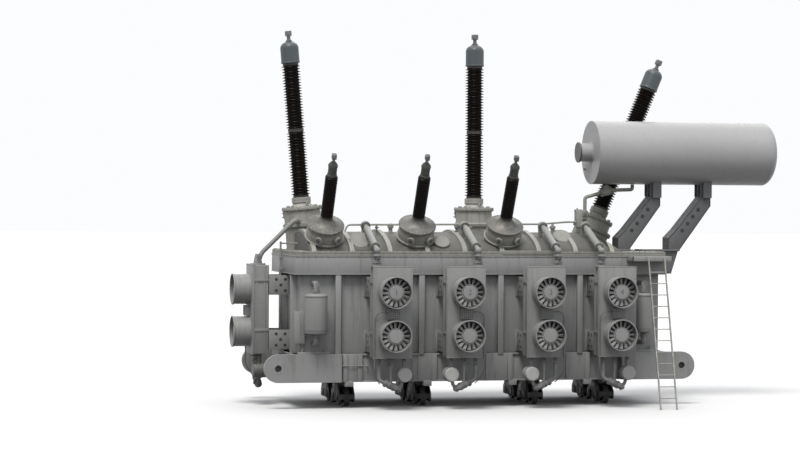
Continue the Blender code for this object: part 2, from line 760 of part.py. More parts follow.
def cooler_pump(hand):
    """Oil pump group under a cooler: two flanged stubs, a round motor to one side and an inclined pump."""
    top = COOLER_BOTTOM + CASING_LIP - TOUCH
    y = -COOLER_STANDOFF - COOLER_DEPTH / 2
    motor_x = hand * PUMP_OFFSET
    body_x = -hand * 0.10
    motor = along_y(cylinder(PUMP_RADIUS, -PUMP_LENGTH / 2, PUMP_LENGTH / 2, ROUND_MIDDLE))
    motor = shifted(motor, x=motor_x, y=y, z=PUMP_Z)
    low_end = Vector((body_x - hand * 0.20, y, PUMP_BODY_Z - 0.06))
    high_end = Vector((body_x + hand * 0.20, y, PUMP_BODY_Z + 0.10))
    shapes = [
        motor,
        pipe([(motor_x, y, PUMP_Z), (motor_x, y, top)], PUMP_PIPE),
        pipe([(body_x, y, top), (body_x, y, PUMP_BODY_Z)], PUMP_PIPE),
        pipe([low_end, high_end], PUMP_BODY_RADIUS),
        pipe([high_end.lerp(low_end, 0.1), (motor_x, y, PUMP_Z)], PUMP_PIPE),
    ]
    for x in (motor_x, body_x):
        shapes.append(shifted(cylinder(PUMP_FLANGE, -PUMP_FLANGE_THICKNESS, 0, ROUND_SMALL), x=x, y=y, z=top))
    return fused("cooler_pump", shapes)


def riser_ends(end_y, end_z):
    """Elbow above a cooler's top, and the flange joint on the cover, as Y and Z in the tank's frame."""
    elbow = Vector((0, -TANK_WIDTH / 2 - COOLER_STANDOFF - COOLER_DEPTH * 0.5, RISER_ELBOW_Z))
    return elbow, Vector((0, end_y, end_z))


def flange_between(near, far, radius, thickness):
    """A round flange that ends at the far point of a straight run."""
    run = (far - near).normalized()
    return pipe([far - run * thickness, far], radius)


def cooler_riser(hand):
    """Oil pipe from a front cooler's top, up and back to its flange on the cover, in the tank's Y and Z."""
    elbow, end = riser_ends(*RISER_END)
    low = COOLER_TOP - CASING_LIP + TOUCH
    foot = Vector((0, elbow.y, low))
    run = (end - elbow).normalized()
    joint = end - run * TOUCH
    shapes = [
        pipe([foot, elbow, joint], RISER_RADIUS),
        pipe([elbow.lerp(end, 0.14), elbow.lerp(end, 0.88)], RISER_SLEEVE_RADIUS),
        flange_between(elbow, joint, RISER_FLANGE, RISER_FLANGE_THICKNESS),
        shifted(cylinder(RISER_FLANGE, low, low + RISER_FLANGE_THICKNESS, ROUND_SMALL), y=elbow.y),
    ]
    shapes = [shifted(shape, x=-hand * RISER_OFFSET) for shape in shapes]
    return fused("cooler_riser", shapes)


def riser_stub(x):
    """The cover's own end of a riser: a flange, and an elbow down into the vault."""
    elbow, end = riser_ends(*RISER_END)
    run = (end - elbow).normalized()
    turn = end + run * RISER_STUB_RUN
    down = Vector((0, turn.y, turn.z - 0.4))
    shapes = [
        pipe([end, turn, down], RISER_RADIUS),
        pipe([end, end + run * RISER_FLANGE_THICKNESS], RISER_FLANGE),
    ]
    return [shifted(shape, x=x) for shape in shapes]


def end_riser_points():
    """Run of the left end cooler's pipe: its top, two corners and its joint with the first turret's stub."""
    x = -TANK_LENGTH / 2 - COOLER_STANDOFF - COOLER_DEPTH * 0.5
    corner_x, corner_z = END_RISER_CORNER
    low = COOLER_TOP - CASING_LIP + TOUCH
    corner = Vector((corner_x, 0, corner_z))
    axis = hv_axis(HV_PLACES[0])
    middle = axis @ Vector((0, 0, (corner_z - GIRDER_TOP) / axis[2][2]))
    aim = Vector((middle.x - corner.x, middle.y - corner.y, 0)).normalized()
    return Vector((x, 0, low)), Vector((x, 0, RISER_ELBOW_Z)), corner, corner + aim * END_RISER_RUN


def end_cooler_riser():
    """Oil pipe from the left end cooler, up over the cover's end to the first high-voltage turret."""
    foot, elbow, corner, end = end_riser_points()
    joint = end - (end - corner).normalized() * TOUCH
    shapes = [
        pipe([foot, elbow, corner, joint], RISER_RADIUS),
        pipe([elbow.lerp(corner, 0.14), elbow.lerp(corner, 0.62)], RISER_SLEEVE_RADIUS),
        flange_between(corner, joint, RISER_FLANGE, RISER_FLANGE_THICKNESS),
        shifted(cylinder(RISER_FLANGE, foot.z, foot.z + RISER_FLANGE_THICKNESS, ROUND_SMALL), x=foot.x),
    ]
    return fused("cooler_riser_5", shapes)


def end_riser_stub():
    """The first turret's own end of the left end cooler's pipe, in the turret's frame."""
    _, _, corner, end = end_riser_points()
    run = (end - corner).normalized()
    shapes = [
        pipe([end, end + run * HV_BODY_RADIUS], RISER_RADIUS),
        pipe([end, end + run * RISER_FLANGE_THICKNESS], RISER_FLANGE),
    ]
    back = hv_axis(HV_PLACES[0]).inverted()
    return [moved(shape, back) for shape in shapes]


def bogie():
    """Bogie with two wheels that roll along Y, under a bolster that meets the tank's underside."""
    half_length = BOGIE_LENGTH / 2
    half_bolster = BOGIE_BOLSTER / 2
    half_width = BOGIE_WIDTH / 2
    top = TANK_BOTTOM - TOUCH
    shapes = [box((-half_width + 0.02, -half_bolster, top - 0.14), (half_width - 0.02, half_bolster, top))]
    plate = [
        (-half_length, WHEEL_RADIUS - 0.08),
        (half_length, WHEEL_RADIUS - 0.08),
        (half_length, WHEEL_RADIUS + 0.10),
        (half_bolster - 0.03, top - 0.10),
        (-half_bolster + 0.03, top - 0.10),
        (-half_length, WHEEL_RADIUS + 0.10),
    ]
    for side in (-1, 1):
        span = sorted((side * half_width, side * (half_width - BOGIE_PLATE)))
        shapes.append(prism(plate, span[0], span[1], "X"))
    lift = WHEEL_RADIUS * math.cos(math.pi / ROUND_MIDDLE)
    for y in (-WHEEL_SPACING / 2, WHEEL_SPACING / 2):
        wheel = along_x(cylinder(WHEEL_RADIUS, -WHEEL_TREAD / 2, WHEEL_TREAD / 2, ROUND_MIDDLE))
        axle = along_x(cylinder(AXLE_RADIUS, -half_width + 0.02, half_width - 0.02, 6))
        shapes.append(shifted(wheel, y=y, z=lift))
        shapes.append(shifted(axle, y=y, z=lift))
    return fused("bogie", shapes)


def conservator_shell():
    """Rolled shell, open at both ends where the end plates close it, along +X from its left end."""
    inner = CONSERVATOR_RADIUS - CONSERVATOR_WALL
    low = CONSERVATOR_END_PLATE + TOUCH
    high = CONSERVATOR_LENGTH - TOUCH
    ring = [(CONSERVATOR_RADIUS, low), (CONSERVATOR_RADIUS, high), (inner, high), (inner, low)]
    return fused("conservator_shell", [along_x(turned(ring, 24, ring=True))])


def conservator_left_end():
    """Flat end plate with the drum on its middle."""
    reach = -DRUM_LENGTH
    profile = [
        (0, reach),
        (DRUM_RADIUS + DRUM_RIM, reach),
        (DRUM_RADIUS + DRUM_RIM, reach + DRUM_RIM_THICKNESS),
        (DRUM_RADIUS, reach + DRUM_RIM_THICKNESS),
        (DRUM_RADIUS, 0),
        (CONSERVATOR_RADIUS, 0),
        (CONSERVATOR_RADIUS, CONSERVATOR_END_PLATE),
        (0, CONSERVATOR_END_PLATE),
    ]
    return fused("conservator_left_end", [along_x(turned(profile, 24))])


def conservator_right_end():
    """Dished end on the far side of the shell."""
    steps = 5
    dish = [(0, 0)]
    for i in range(steps + 1):
        turn = math.pi / 2 * i / steps
        dish.append((CONSERVATOR_RADIUS * math.cos(turn) ** 0.55, CONSERVATOR_DISH * math.sin(turn)))
    return fused("conservator_right_end", [along_x(turned(dish, 24))])


def conservator_strut(foot_x):
    """Inclined box strut with a saddle that fits the shell, in X and Z about the tank's middle."""
    left = foot_x
    outline = [
        (left, STRUT_FOOT_Z),
        (left + STRUT_FOOT_LENGTH, STRUT_FOOT_Z),
        (left + STRUT_RUN + STRUT_DEPTH_X, STRUT_HEAD_RIGHT_Z),
        (left + STRUT_RUN + STRUT_DEPTH_X, STRUT_HEAD_LEFT_Z),
        (left + STRUT_RUN, STRUT_HEAD_LEFT_Z),
        (left + STRUT_HEEL_X, STRUT_FOOT_Z + STRUT_HEEL_Z + STRUT_HEEL_X),
        (left, STRUT_FOOT_Z + STRUT_HEEL_Z),
    ]
    low_y = CONSERVATOR_Y - STRUT_WIDTH / 2
    high_y = CONSERVATOR_Y + STRUT_WIDTH / 2
    head_x = left + STRUT_RUN
    shapes = [
        prism(outline, low_y, high_y, "Y"),
        box(
            (head_x, low_y - SADDLE_PROUD, STRUT_HEAD_LEFT_Z - 0.06),
            (head_x + SADDLE_LENGTH, high_y + SADDLE_PROUD, CONSERVATOR_Z - CONSERVATOR_RADIUS * 0.86),
        ),
    ]
    right = TANK_LENGTH / 2 - FLANGE_INSET
    flange_top = GIRDER_TOP + TOUCH + FLANGE_THICKNESS
    foot_low = flange_top + TOUCH
    foot_high = STRUT_FOOT_Z + 0.03
    if left > right:
        foot = (right - 0.30, low_y - 0.05, foot_low)
        shapes.append(box(foot, (left + STRUT_FOOT_LENGTH, high_y + 0.05, foot_high)))
        gusset = [
            (TANK_LENGTH / 2 + TOUCH, flange_top + 0.01),
            (TANK_LENGTH / 2 + TOUCH, flange_top - BRACKET_DROP),
            (left + 0.10, flange_top - BRACKET_DROP),
            (left + STRUT_FOOT_LENGTH - 0.02, flange_top + 0.01),
        ]
        shapes.append(prism(gusset, low_y + 0.04, high_y - 0.04, "Y"))
    else:
        foot = (left - 0.02, low_y - 0.05, foot_low)
        shapes.append(box(foot, (left + STRUT_FOOT_LENGTH + 0.06, high_y + 0.05, foot_high)))
    shell = cylinder(CONSERVATOR_RADIUS + TOUCH, -1.0, CONSERVATOR_LENGTH + 1.0, 24)
    cuts = [shifted(along_x(shell), x=CONSERVATOR_LEFT, y=CONSERVATOR_Y, z=CONSERVATOR_Z)]
    return fused("conservator_strut", shapes, cuts)


def conservator_pipe():
    """Oil pipe with a relay, from the cover up to the underside of the conservator."""
    flange_top = GIRDER_TOP + TOUCH + FLANGE_THICKNESS
    foot_z = flange_top + VAULT_RISE + OIL_PAD_HEIGHT + TOUCH
    end_top = CONSERVATOR_Z - CONSERVATOR_RADIUS * 0.8
    first = Vector((OIL_PIPE_X, CONSERVATOR_Y, OIL_PIPE_ELBOW_Z))
    second = Vector((OIL_PIPE_END_X - 0.6, CONSERVATOR_Y, OIL_PIPE_TOP_Z))
    last = Vector((OIL_PIPE_END_X, CONSERVATOR_Y, OIL_PIPE_TOP_Z + 0.02))
    up = Vector((OIL_PIPE_END_X, CONSERVATOR_Y, end_top))
    middle = first.lerp(second, 0.5)
    aim = (second - first).normalized() * RELAY_LENGTH / 2
    foot = cylinder(OIL_PIPE_RADIUS * 2, foot_z, foot_z + 0.04, ROUND_SMALL)
    shapes = [
        pipe([(OIL_PIPE_X, CONSERVATOR_Y, foot_z), first, second, last, up], OIL_PIPE_RADIUS),
        pipe([middle - aim, middle + aim], RELAY_RADIUS),
        shifted(foot, x=OIL_PIPE_X, y=CONSERVATOR_Y),
    ]
    shell = cylinder(CONSERVATOR_RADIUS + TOUCH, -1.0, CONSERVATOR_LENGTH + 1.0, 24)
    cuts = [shifted(along_x(shell), x=CONSERVATOR_LEFT, y=CONSERVATOR_Y, z=CONSERVATOR_Z)]
    return fused("conservator_pipe", shapes, cuts)


def filter_vessel(radius):
    """Upright oil filter on the front wall, with its necks bent back to the wall above and below."""
    top = FILTER_HEIGHT
    body = [
        (0, -FILTER_DOME),
        (radius * 0.6, -FILTER_DOME),
        (radius, 0),
        (radius, top),
        (radius * 0.6, top + FILTER_DOME),
        (0, top + FILTER_DOME),
    ]
    y = FILTER_MIDDLE_Y
    wall = WALL_RECESS - TOUCH
    high = top + FILTER_DOME + FILTER_NECK_LENGTH
    low = -FILTER_DOME - FILTER_NECK_LENGTH
    shapes = [
        shifted(turned(body, ROUND_MIDDLE), y=y),
        pipe([(0, y, top), (0, y, high), (0, wall, high)], FILTER_NECK),
        pipe([(0, y, 0), (0, y, low), (0, wall, low)], FILTER_NECK),
    ]
    return fused("filter_vessel", shapes)


def landing():
    """Landing at the cover's level, on the front wall's right end."""
    face = -TANK_WIDTH / 2 - TOUCH
    low = (LANDING_LEFT, face - LANDING_DEPTH, GIRDER_TOP - LANDING_THICKNESS)
    return fused("landing", [box(low, (TANK_LENGTH / 2, face, GIRDER_TOP))])


def access_ladder():
    """Leaning ladder from the ground to the landing's outer face."""
    face = -TANK_WIDTH / 2 - 2 * TOUCH - LANDING_DEPTH
    foot_y = face - LADDER_RUN
    head_z = GIRDER_TOP - 0.02
    knee_z = GIRDER_TOP - LANDING_THICKNESS
    half = LADDER_STILE / 2
    outline = [
        (foot_y - half, 0.0),
        (foot_y + half, 0.0),
        (face, knee_z),
        (face, head_z),
        (face - LADDER_STILE, head_z),
        (face - LADDER_STILE, knee_z),
    ]
    shapes = [prism(outline, x - half, x + half, "X") for x in (LADDER_X, LADDER_X + LADDER_WIDTH)]
    rungs = int((head_z - RUNG_PITCH) / RUNG_PITCH)
    for i in range(1, rungs + 1):
        z = i * RUNG_PITCH
        y = foot_y + (face - half - foot_y) * min(1.0, z / knee_z)
        rung = along_x(cylinder(RUNG_RADIUS, 0, LADDER_WIDTH, 6))
        shapes.append(shifted(rung, x=LADDER_X, y=y, z=z))
    return fused("access_ladder", shapes)


def build_tank(parent):
    place("tank_body", tank_body(), "tank_paint", parent)
    place("tank_cover", tank_cover(), "cover_paint", parent)
    mesh = bogie()
    for i, x in enumerate(BOGIE_X, 1):
        for row, y in (("front", -BOGIE_Y), ("back", BOGIE_Y)):
            place(f"bogie_{i}_{row}", mesh, "bogie_steel", parent, (x, y, 0))


def place_on_axis(name, mesh, paint, parent, axis, up):
    matrix = axis @ Matrix.Translation((0, 0, up))
    place(name, mesh, paint, parent, matrix.to_translation(), matrix.to_euler())


def build_bushings(parent):
    stack = sheds(HV_CORE_RADIUS, HV_SHED_RADIUS, HV_PORCELAIN, HV_SHEDS, ROUND_SMALL + 2)
    porcelain = fused("hv_bushing", [stack])
    cap = hv_cap()
    for i, place_of in enumerate(HV_PLACES, 1):
        axis = hv_axis(place_of)
        foot = place_of[3]
        place_on_axis(f"hv_turret_{i}", hv_turret(place_of), "cover_paint", parent, axis, 0)
        place_on_axis(f"hv_bushing_{i}", porcelain, "porcelain", parent, axis, foot + TOUCH)
        place_on_axis(f"hv_cap_{i}", cap, "cap_paint", parent, axis, foot + HV_PORCELAIN + 2 * TOUCH)
    turret = mv_turret()
    bushing = mv_bushing()
    for i, x in enumerate(MV_X, 1):
        axis = mv_axis(x)
        neck = MV_COLLAR_HEIGHT + TOUCH + MV_BODY_HEIGHT + MV_DISH_HEIGHT
        place_on_axis(f"mv_turret_{i}", turret, "galvanised", parent, axis, 0)
        place_on_axis(f"mv_bushing_{i}", bushing, "porcelain", parent, axis, neck + TOUCH)


def build_coolers(parent):
    casing = cooler_casing()
    pumps = {hand: cooler_pump(hand) for hand in (-1, 1)}
    risers = {hand: cooler_riser(hand) for hand in (-1, 1)}
    rotor = fan_rotor()
    spots = [((x, -TANK_WIDTH / 2, 0), 0.0, hand) for x, hand in zip(COOLER_X, COOLER_HANDS)]
    spots.append(((-TANK_LENGTH / 2, COOLER_END_Y, 0), -math.pi / 2, 1))
    front = COOLER_STANDOFF + COOLER_DEPTH
    for i, (spot, turn, hand) in enumerate(spots, 1):
        place(f"cooler_casing_{i}", casing, "cooler_paint", parent, spot, (0, 0, turn))
        place(f"cooler_pump_{i}", pumps[hand], "cooler_paint", parent, spot, (0, 0, turn))
        outward = Matrix.Rotation(turn, 4, "Z") @ Vector((0, -1, 0))
        for level, z in zip(("upper", "lower"), FAN_Z):
            hub = Vector(spot) + outward * (front + MOTOR_LENGTH + TOUCH) + Vector((0, 0, z))
            place(f"fan_{i}_{level}", rotor, "cooler_paint", parent, hub, (math.pi / 2, 0, turn))
    for i, (x, hand) in enumerate(zip(COOLER_X, COOLER_HANDS), 1):
        place(f"cooler_riser_{i}", risers[hand], "cooler_paint", parent, (x, 0, 0))
    place("cooler_riser_5", end_cooler_riser(), "cooler_paint", parent)


def build_conservator(parent):
    spot = (CONSERVATOR_LEFT, CONSERVATOR_Y, CONSERVATOR_Z)
    far = (CONSERVATOR_LEFT + CONSERVATOR_LENGTH, CONSERVATOR_Y, CONSERVATOR_Z)
    place("conservator_shell", conservator_shell(), "conservator_paint", parent, spot)
    place("conservator_left_end", conservator_left_end(), "conservator_paint", parent, spot)
    place("conservator_right_end", conservator_right_end(), "conservator_paint", parent, far)
    for i, x in enumerate(STRUT_FOOT_X, 1):
        place(f"conservator_strut_{i}", conservator_strut(x), "strut_paint", parent)
    place("conservator_pipe", conservator_pipe(), "cover_paint", parent)


def build_wall_fittings(parent):
    for i, (x, radius) in enumerate(FILTER_PLACES, 1):
        spot = (x, -TANK_WIDTH / 2, FILTER_BOTTOM)
        place(f"filter_vessel_{i}", filter_vessel(radius), "cooler_paint", parent, spot)
    place("landing", landing(), "tank_paint", parent)
    place("access_ladder", access_ladder(), "tank_paint", parent)


def centre_on_ground(parent):
    """Moves the parent so that the whole outline's middle stands on the origin."""
    bpy.context.view_layer.update()
    corners = [
        part.matrix_world @ vertex.co
        for part in parent.children
        for vertex in part.data.vertices
    ]
    low = Vector([min(corner[i] for corner in corners) for i in range(3)])
    high = Vector([max(corner[i] for corner in corners) for i in range(3)])
    parent.location = (-(low.x + high.x) / 2, -(low.y + high.y) / 2, -low.z)


def main():
    for old in list(bpy.data.objects):
        bpy.data.objects.remove(old)
    transformer = bpy.data.objects.new("transformer", None)
    bpy.context.scene.collection.objects.link(transformer)
    build_tank(transformer)
    build_bushings(transformer)
    build_coolers(transformer)
    build_conservator(transformer)
    build_wall_fittings(transformer)
    centre_on_ground(transformer)


main()
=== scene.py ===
"""Detailed pieces, finishes, stage and camera for a power transformer with fan coolers."""

import math

import bmesh
import bpy
from mathutils import Matrix, Vector


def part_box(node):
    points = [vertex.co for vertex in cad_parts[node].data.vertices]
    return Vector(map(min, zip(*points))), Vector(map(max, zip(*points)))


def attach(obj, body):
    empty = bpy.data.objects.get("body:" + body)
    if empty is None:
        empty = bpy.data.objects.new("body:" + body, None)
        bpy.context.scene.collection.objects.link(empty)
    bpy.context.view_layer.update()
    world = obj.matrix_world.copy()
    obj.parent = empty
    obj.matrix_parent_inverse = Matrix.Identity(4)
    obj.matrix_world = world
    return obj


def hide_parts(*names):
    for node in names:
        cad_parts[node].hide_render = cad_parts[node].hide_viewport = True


bl_info = {
    "name": "Power Transformer Looks",
    "version": (1, 0, 0),
    "blender": (4, 5, 0),
    "location": "View3D > Sidebar > Transformer",
    "description": "Dresses a packed power transformer with detailed pieces and procedural finishes",
    "category": "Object",
}

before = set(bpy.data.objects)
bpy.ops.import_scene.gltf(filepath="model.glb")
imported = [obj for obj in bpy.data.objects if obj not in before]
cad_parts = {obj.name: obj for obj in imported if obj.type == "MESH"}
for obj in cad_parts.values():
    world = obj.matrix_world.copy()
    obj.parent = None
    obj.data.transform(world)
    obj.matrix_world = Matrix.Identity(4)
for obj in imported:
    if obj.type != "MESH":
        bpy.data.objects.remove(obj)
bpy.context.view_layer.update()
ROOT = "transformer"
SHARP_ANGLE = 35.0

# The photograph
IMAGE_WIDTH = 800
FOCAL_PIXELS = 2400
SENSOR_WIDTH = 36.0
HORIZON_ROW = 206
MIDDLE_ROW = 225
CAMERA_PLACE = (-16.4, -63.4, 5.33)
CAMERA_YAW = 12.9
CAMERA_ROLL = 0.35

# Light
SKY = 0.55
SKY_TOP = 1.05
SKY_COLOUR = (0.97, 0.98, 1.0, 1.0)
FLOOR_REACH = 400.0
FLOOR_BOUNCE = 0.10
LAMPS = (
    ("key_light", (-0.32, -0.55, 1.20), 2.6, 22, (1.0, 0.985, 0.96)),
    ("fill_light", (0.8, -0.55, 0.45), 0.30, 60, (0.93, 0.96, 1.0)),
    ("back_light", (0.3, 0.9, 0.7), 0.7, 50, (0.95, 0.97, 1.0)),
)

# Tank, from its own middle on the ground
TANK_LENGTH = 10.2
TANK_WIDTH = 3.6
TANK_BOTTOM = 0.70
LOWER_TIER_TOP = 1.44
GIRDER_BOTTOM = 3.52
GIRDER_TOP = 4.02
WALL_RECESS = 0.18
WALL_RIB_X = (-3.93, -1.68, 0.48, 2.68)
END_RIB_Y = (-1.10, 0.40)
LOWER_RIB_X = (-3.725, -3.34, -1.325, 0.75, 2.90)
LOWER_PANELS = ((-3.66, -3.41), (-1.77, -1.39), (0.08, 0.68), (2.30, 2.83))
PAD_X = (-3.62, -1.51, 0.82, 2.90)
COVER_SEAM = 0.0003
FLANGE_TOP = GIRDER_TOP + COVER_SEAM + 0.11
BOLT_PITCH = 0.16
HAUL_REACH = 0.80
HAUL_EYE_RADIUS = 0.0875

# Cover
VAULT_LEFT = -4.68
VAULT_RIGHT = 3.90
VAULT_SLOPE = 0.62
VAULT_RISE = 0.50
VAULT_HALF_WIDTH = 1.66
VAULT_ROUNDNESS = 1.65
COVER_RIB_FIRST = -4.57
COVER_RIB_PITCH = 1.02
COVER_RIBS = 9
COVER_RIB_WIDTH = 0.12
COVER_RIB_DEPTH = 0.07
HATCHES = ((-3.28, -1.30, 0.27, 50.0), (-1.07, -1.40, 0.215, 46.0), (2.38, -1.00, 0.25, 40.0))
HATCH_HEIGHT = 0.09
GAS_PIPE = (
    (-3.55, -0.55, 4.55), (-3.45, -0.55, 4.82), (1.9, -0.55, 4.86), (2.75, -0.30, 4.92), (3.1, -0.30, 4.92),
)
GAS_VALVES = ((-2.65, -0.55), (-1.35, -0.55), (-0.45, -0.55), (1.25, -0.55), (2.1, -0.50))
ROOF_VENT_X = (-2.2, 0.0, 2.35)
ROOF_VENT_Y = -0.25
ROOF_VESSEL = (3.22, 0.30)

# Bushings
HV_PLACES = ((-4.31, -4.9, 0.83, 1.54), (0.42, 0.0, 0.84, 1.53), (3.56, 22.3, 0.77, 1.36))
HV_Y = 0.90
THIRD_TURRET_GIRTH = 0.88
TURRET_BOLT_CIRCLE = 0.525
HV_PORCELAIN = 3.65
HV_CAP_HEIGHT = 0.60
MV_X = (-4.21, -1.73, 0.68)
MV_BASE = (-1.15, 4.42)
MV_LEAN = 32.0
MV_COLLAR = 0.19
MV_BODY = 0.27
MV_DISH = 0.26
MV_PORCELAIN = 1.28
MV_CAP_HEIGHT = 0.42

# Coolers
COOLER_X = (-2.67, -0.71, 1.47, 3.43)
COOLER_HANDS = (1, -1, -1, 1)
COOLER_WIDTH = 1.05
COOLER_DEPTH = 0.45
COOLER_STANDOFF = 0.45
COOLER_BOTTOM = 1.365
COOLER_TOP = 3.76
FAN_Z = (3.09, 1.96)
BARREL_RADIUS = 0.40
BARREL_LENGTH = 0.47
MOTOR_LENGTH = 0.28
RISER_OFFSET = 0.38
RISER_ELBOW_Z = 4.17
END_RISER_FOOT = (-5.68, 4.05)
RISER_END = (-1.00, 4.80)
END_RISER_CORNER = (-4.79, 4.92)
END_RISER_RUN = 0.25
RISER_STUB_RUN = 0.24
PUMP_OFFSET = 0.35
PUMP_Z = 0.93
BRACKET_LOW = (1.50, 2.95)
BLADE_ROOT = 0.205
BLADE_TIP = 0.365
HUB_FACE = 0.1255
NUMBER_HEIGHT = 0.20

# Conservator
CONSERVATOR_RADIUS = 0.87
CONSERVATOR_LEFT = 3.40
CONSERVATOR_LENGTH = 4.95
CONSERVATOR_DISH = 0.29
CONSERVATOR_Y = -0.35
CONSERVATOR_Z = 6.83
STRUT_FOOT_X = (4.11, 5.57)
STRUT_FOOT_Z = 4.15
STRUT_HALF_WIDTH = 0.25
OIL_PIPE_X = 3.24
OIL_PIPE_FOOT_Z = 4.7503
OIL_PIPE_END_X = 4.60
OIL_PIPE_ELBOW_Z = 5.60
OIL_PIPE_RUN_Z = (5.80, 5.82)
OIL_VALVE_Z = 5.18
STRUT_SHOULDER_Z = 5.38
STRUT_HEAD_Z = 5.66

# Wall fittings, landing, ladder and bogies
FILTERS = ((-4.57, 0.30), (4.39, 0.215))
FILTER_Y = -2.01
FILTER_BOTTOM = 2.02
FILTER_HEIGHT = 0.96
LANDING_LEFT = 3.98
LANDING_OUTER = -2.3003
LADDER_X = 4.42
LADDER_WIDTH = 0.45
LADDER_RUN = 1.10
CABINET_X = (-5.08, -4.82)
CABINET_Z = (1.72, 2.55)
BOGIE_X = (-3.58, -1.50, 1.60, 3.60)
BOGIE_Y = 0.72
WHEEL_RADIUS = 0.25


def tank_middle():
    """Middle of the tank on the ground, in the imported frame."""
    low, high = (Vector(corner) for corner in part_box("tank_body"))
    middle = (low + high) / 2
    return Vector((middle.x, middle.y, 0))


TANK_MIDDLE = tank_middle()
UP = Vector((0, 0, 1))
FRONT = Matrix.Rotation(math.pi / 2, 4, "X")
ALONG = Matrix.Rotation(math.pi / 2, 4, "Y")


def shift(x=0.0, y=0.0, z=0.0):
    return Matrix.Translation((x, y, z))


def turn(degrees, axis):
    return Matrix.Rotation(math.radians(degrees), 4, axis)


def aimed(start, direction):
    """Matrix that takes the local Z axis to a start point and a direction."""
    return Matrix.Translation(start) @ Vector(direction).to_track_quat("Z", "Y").to_matrix().to_4x4()


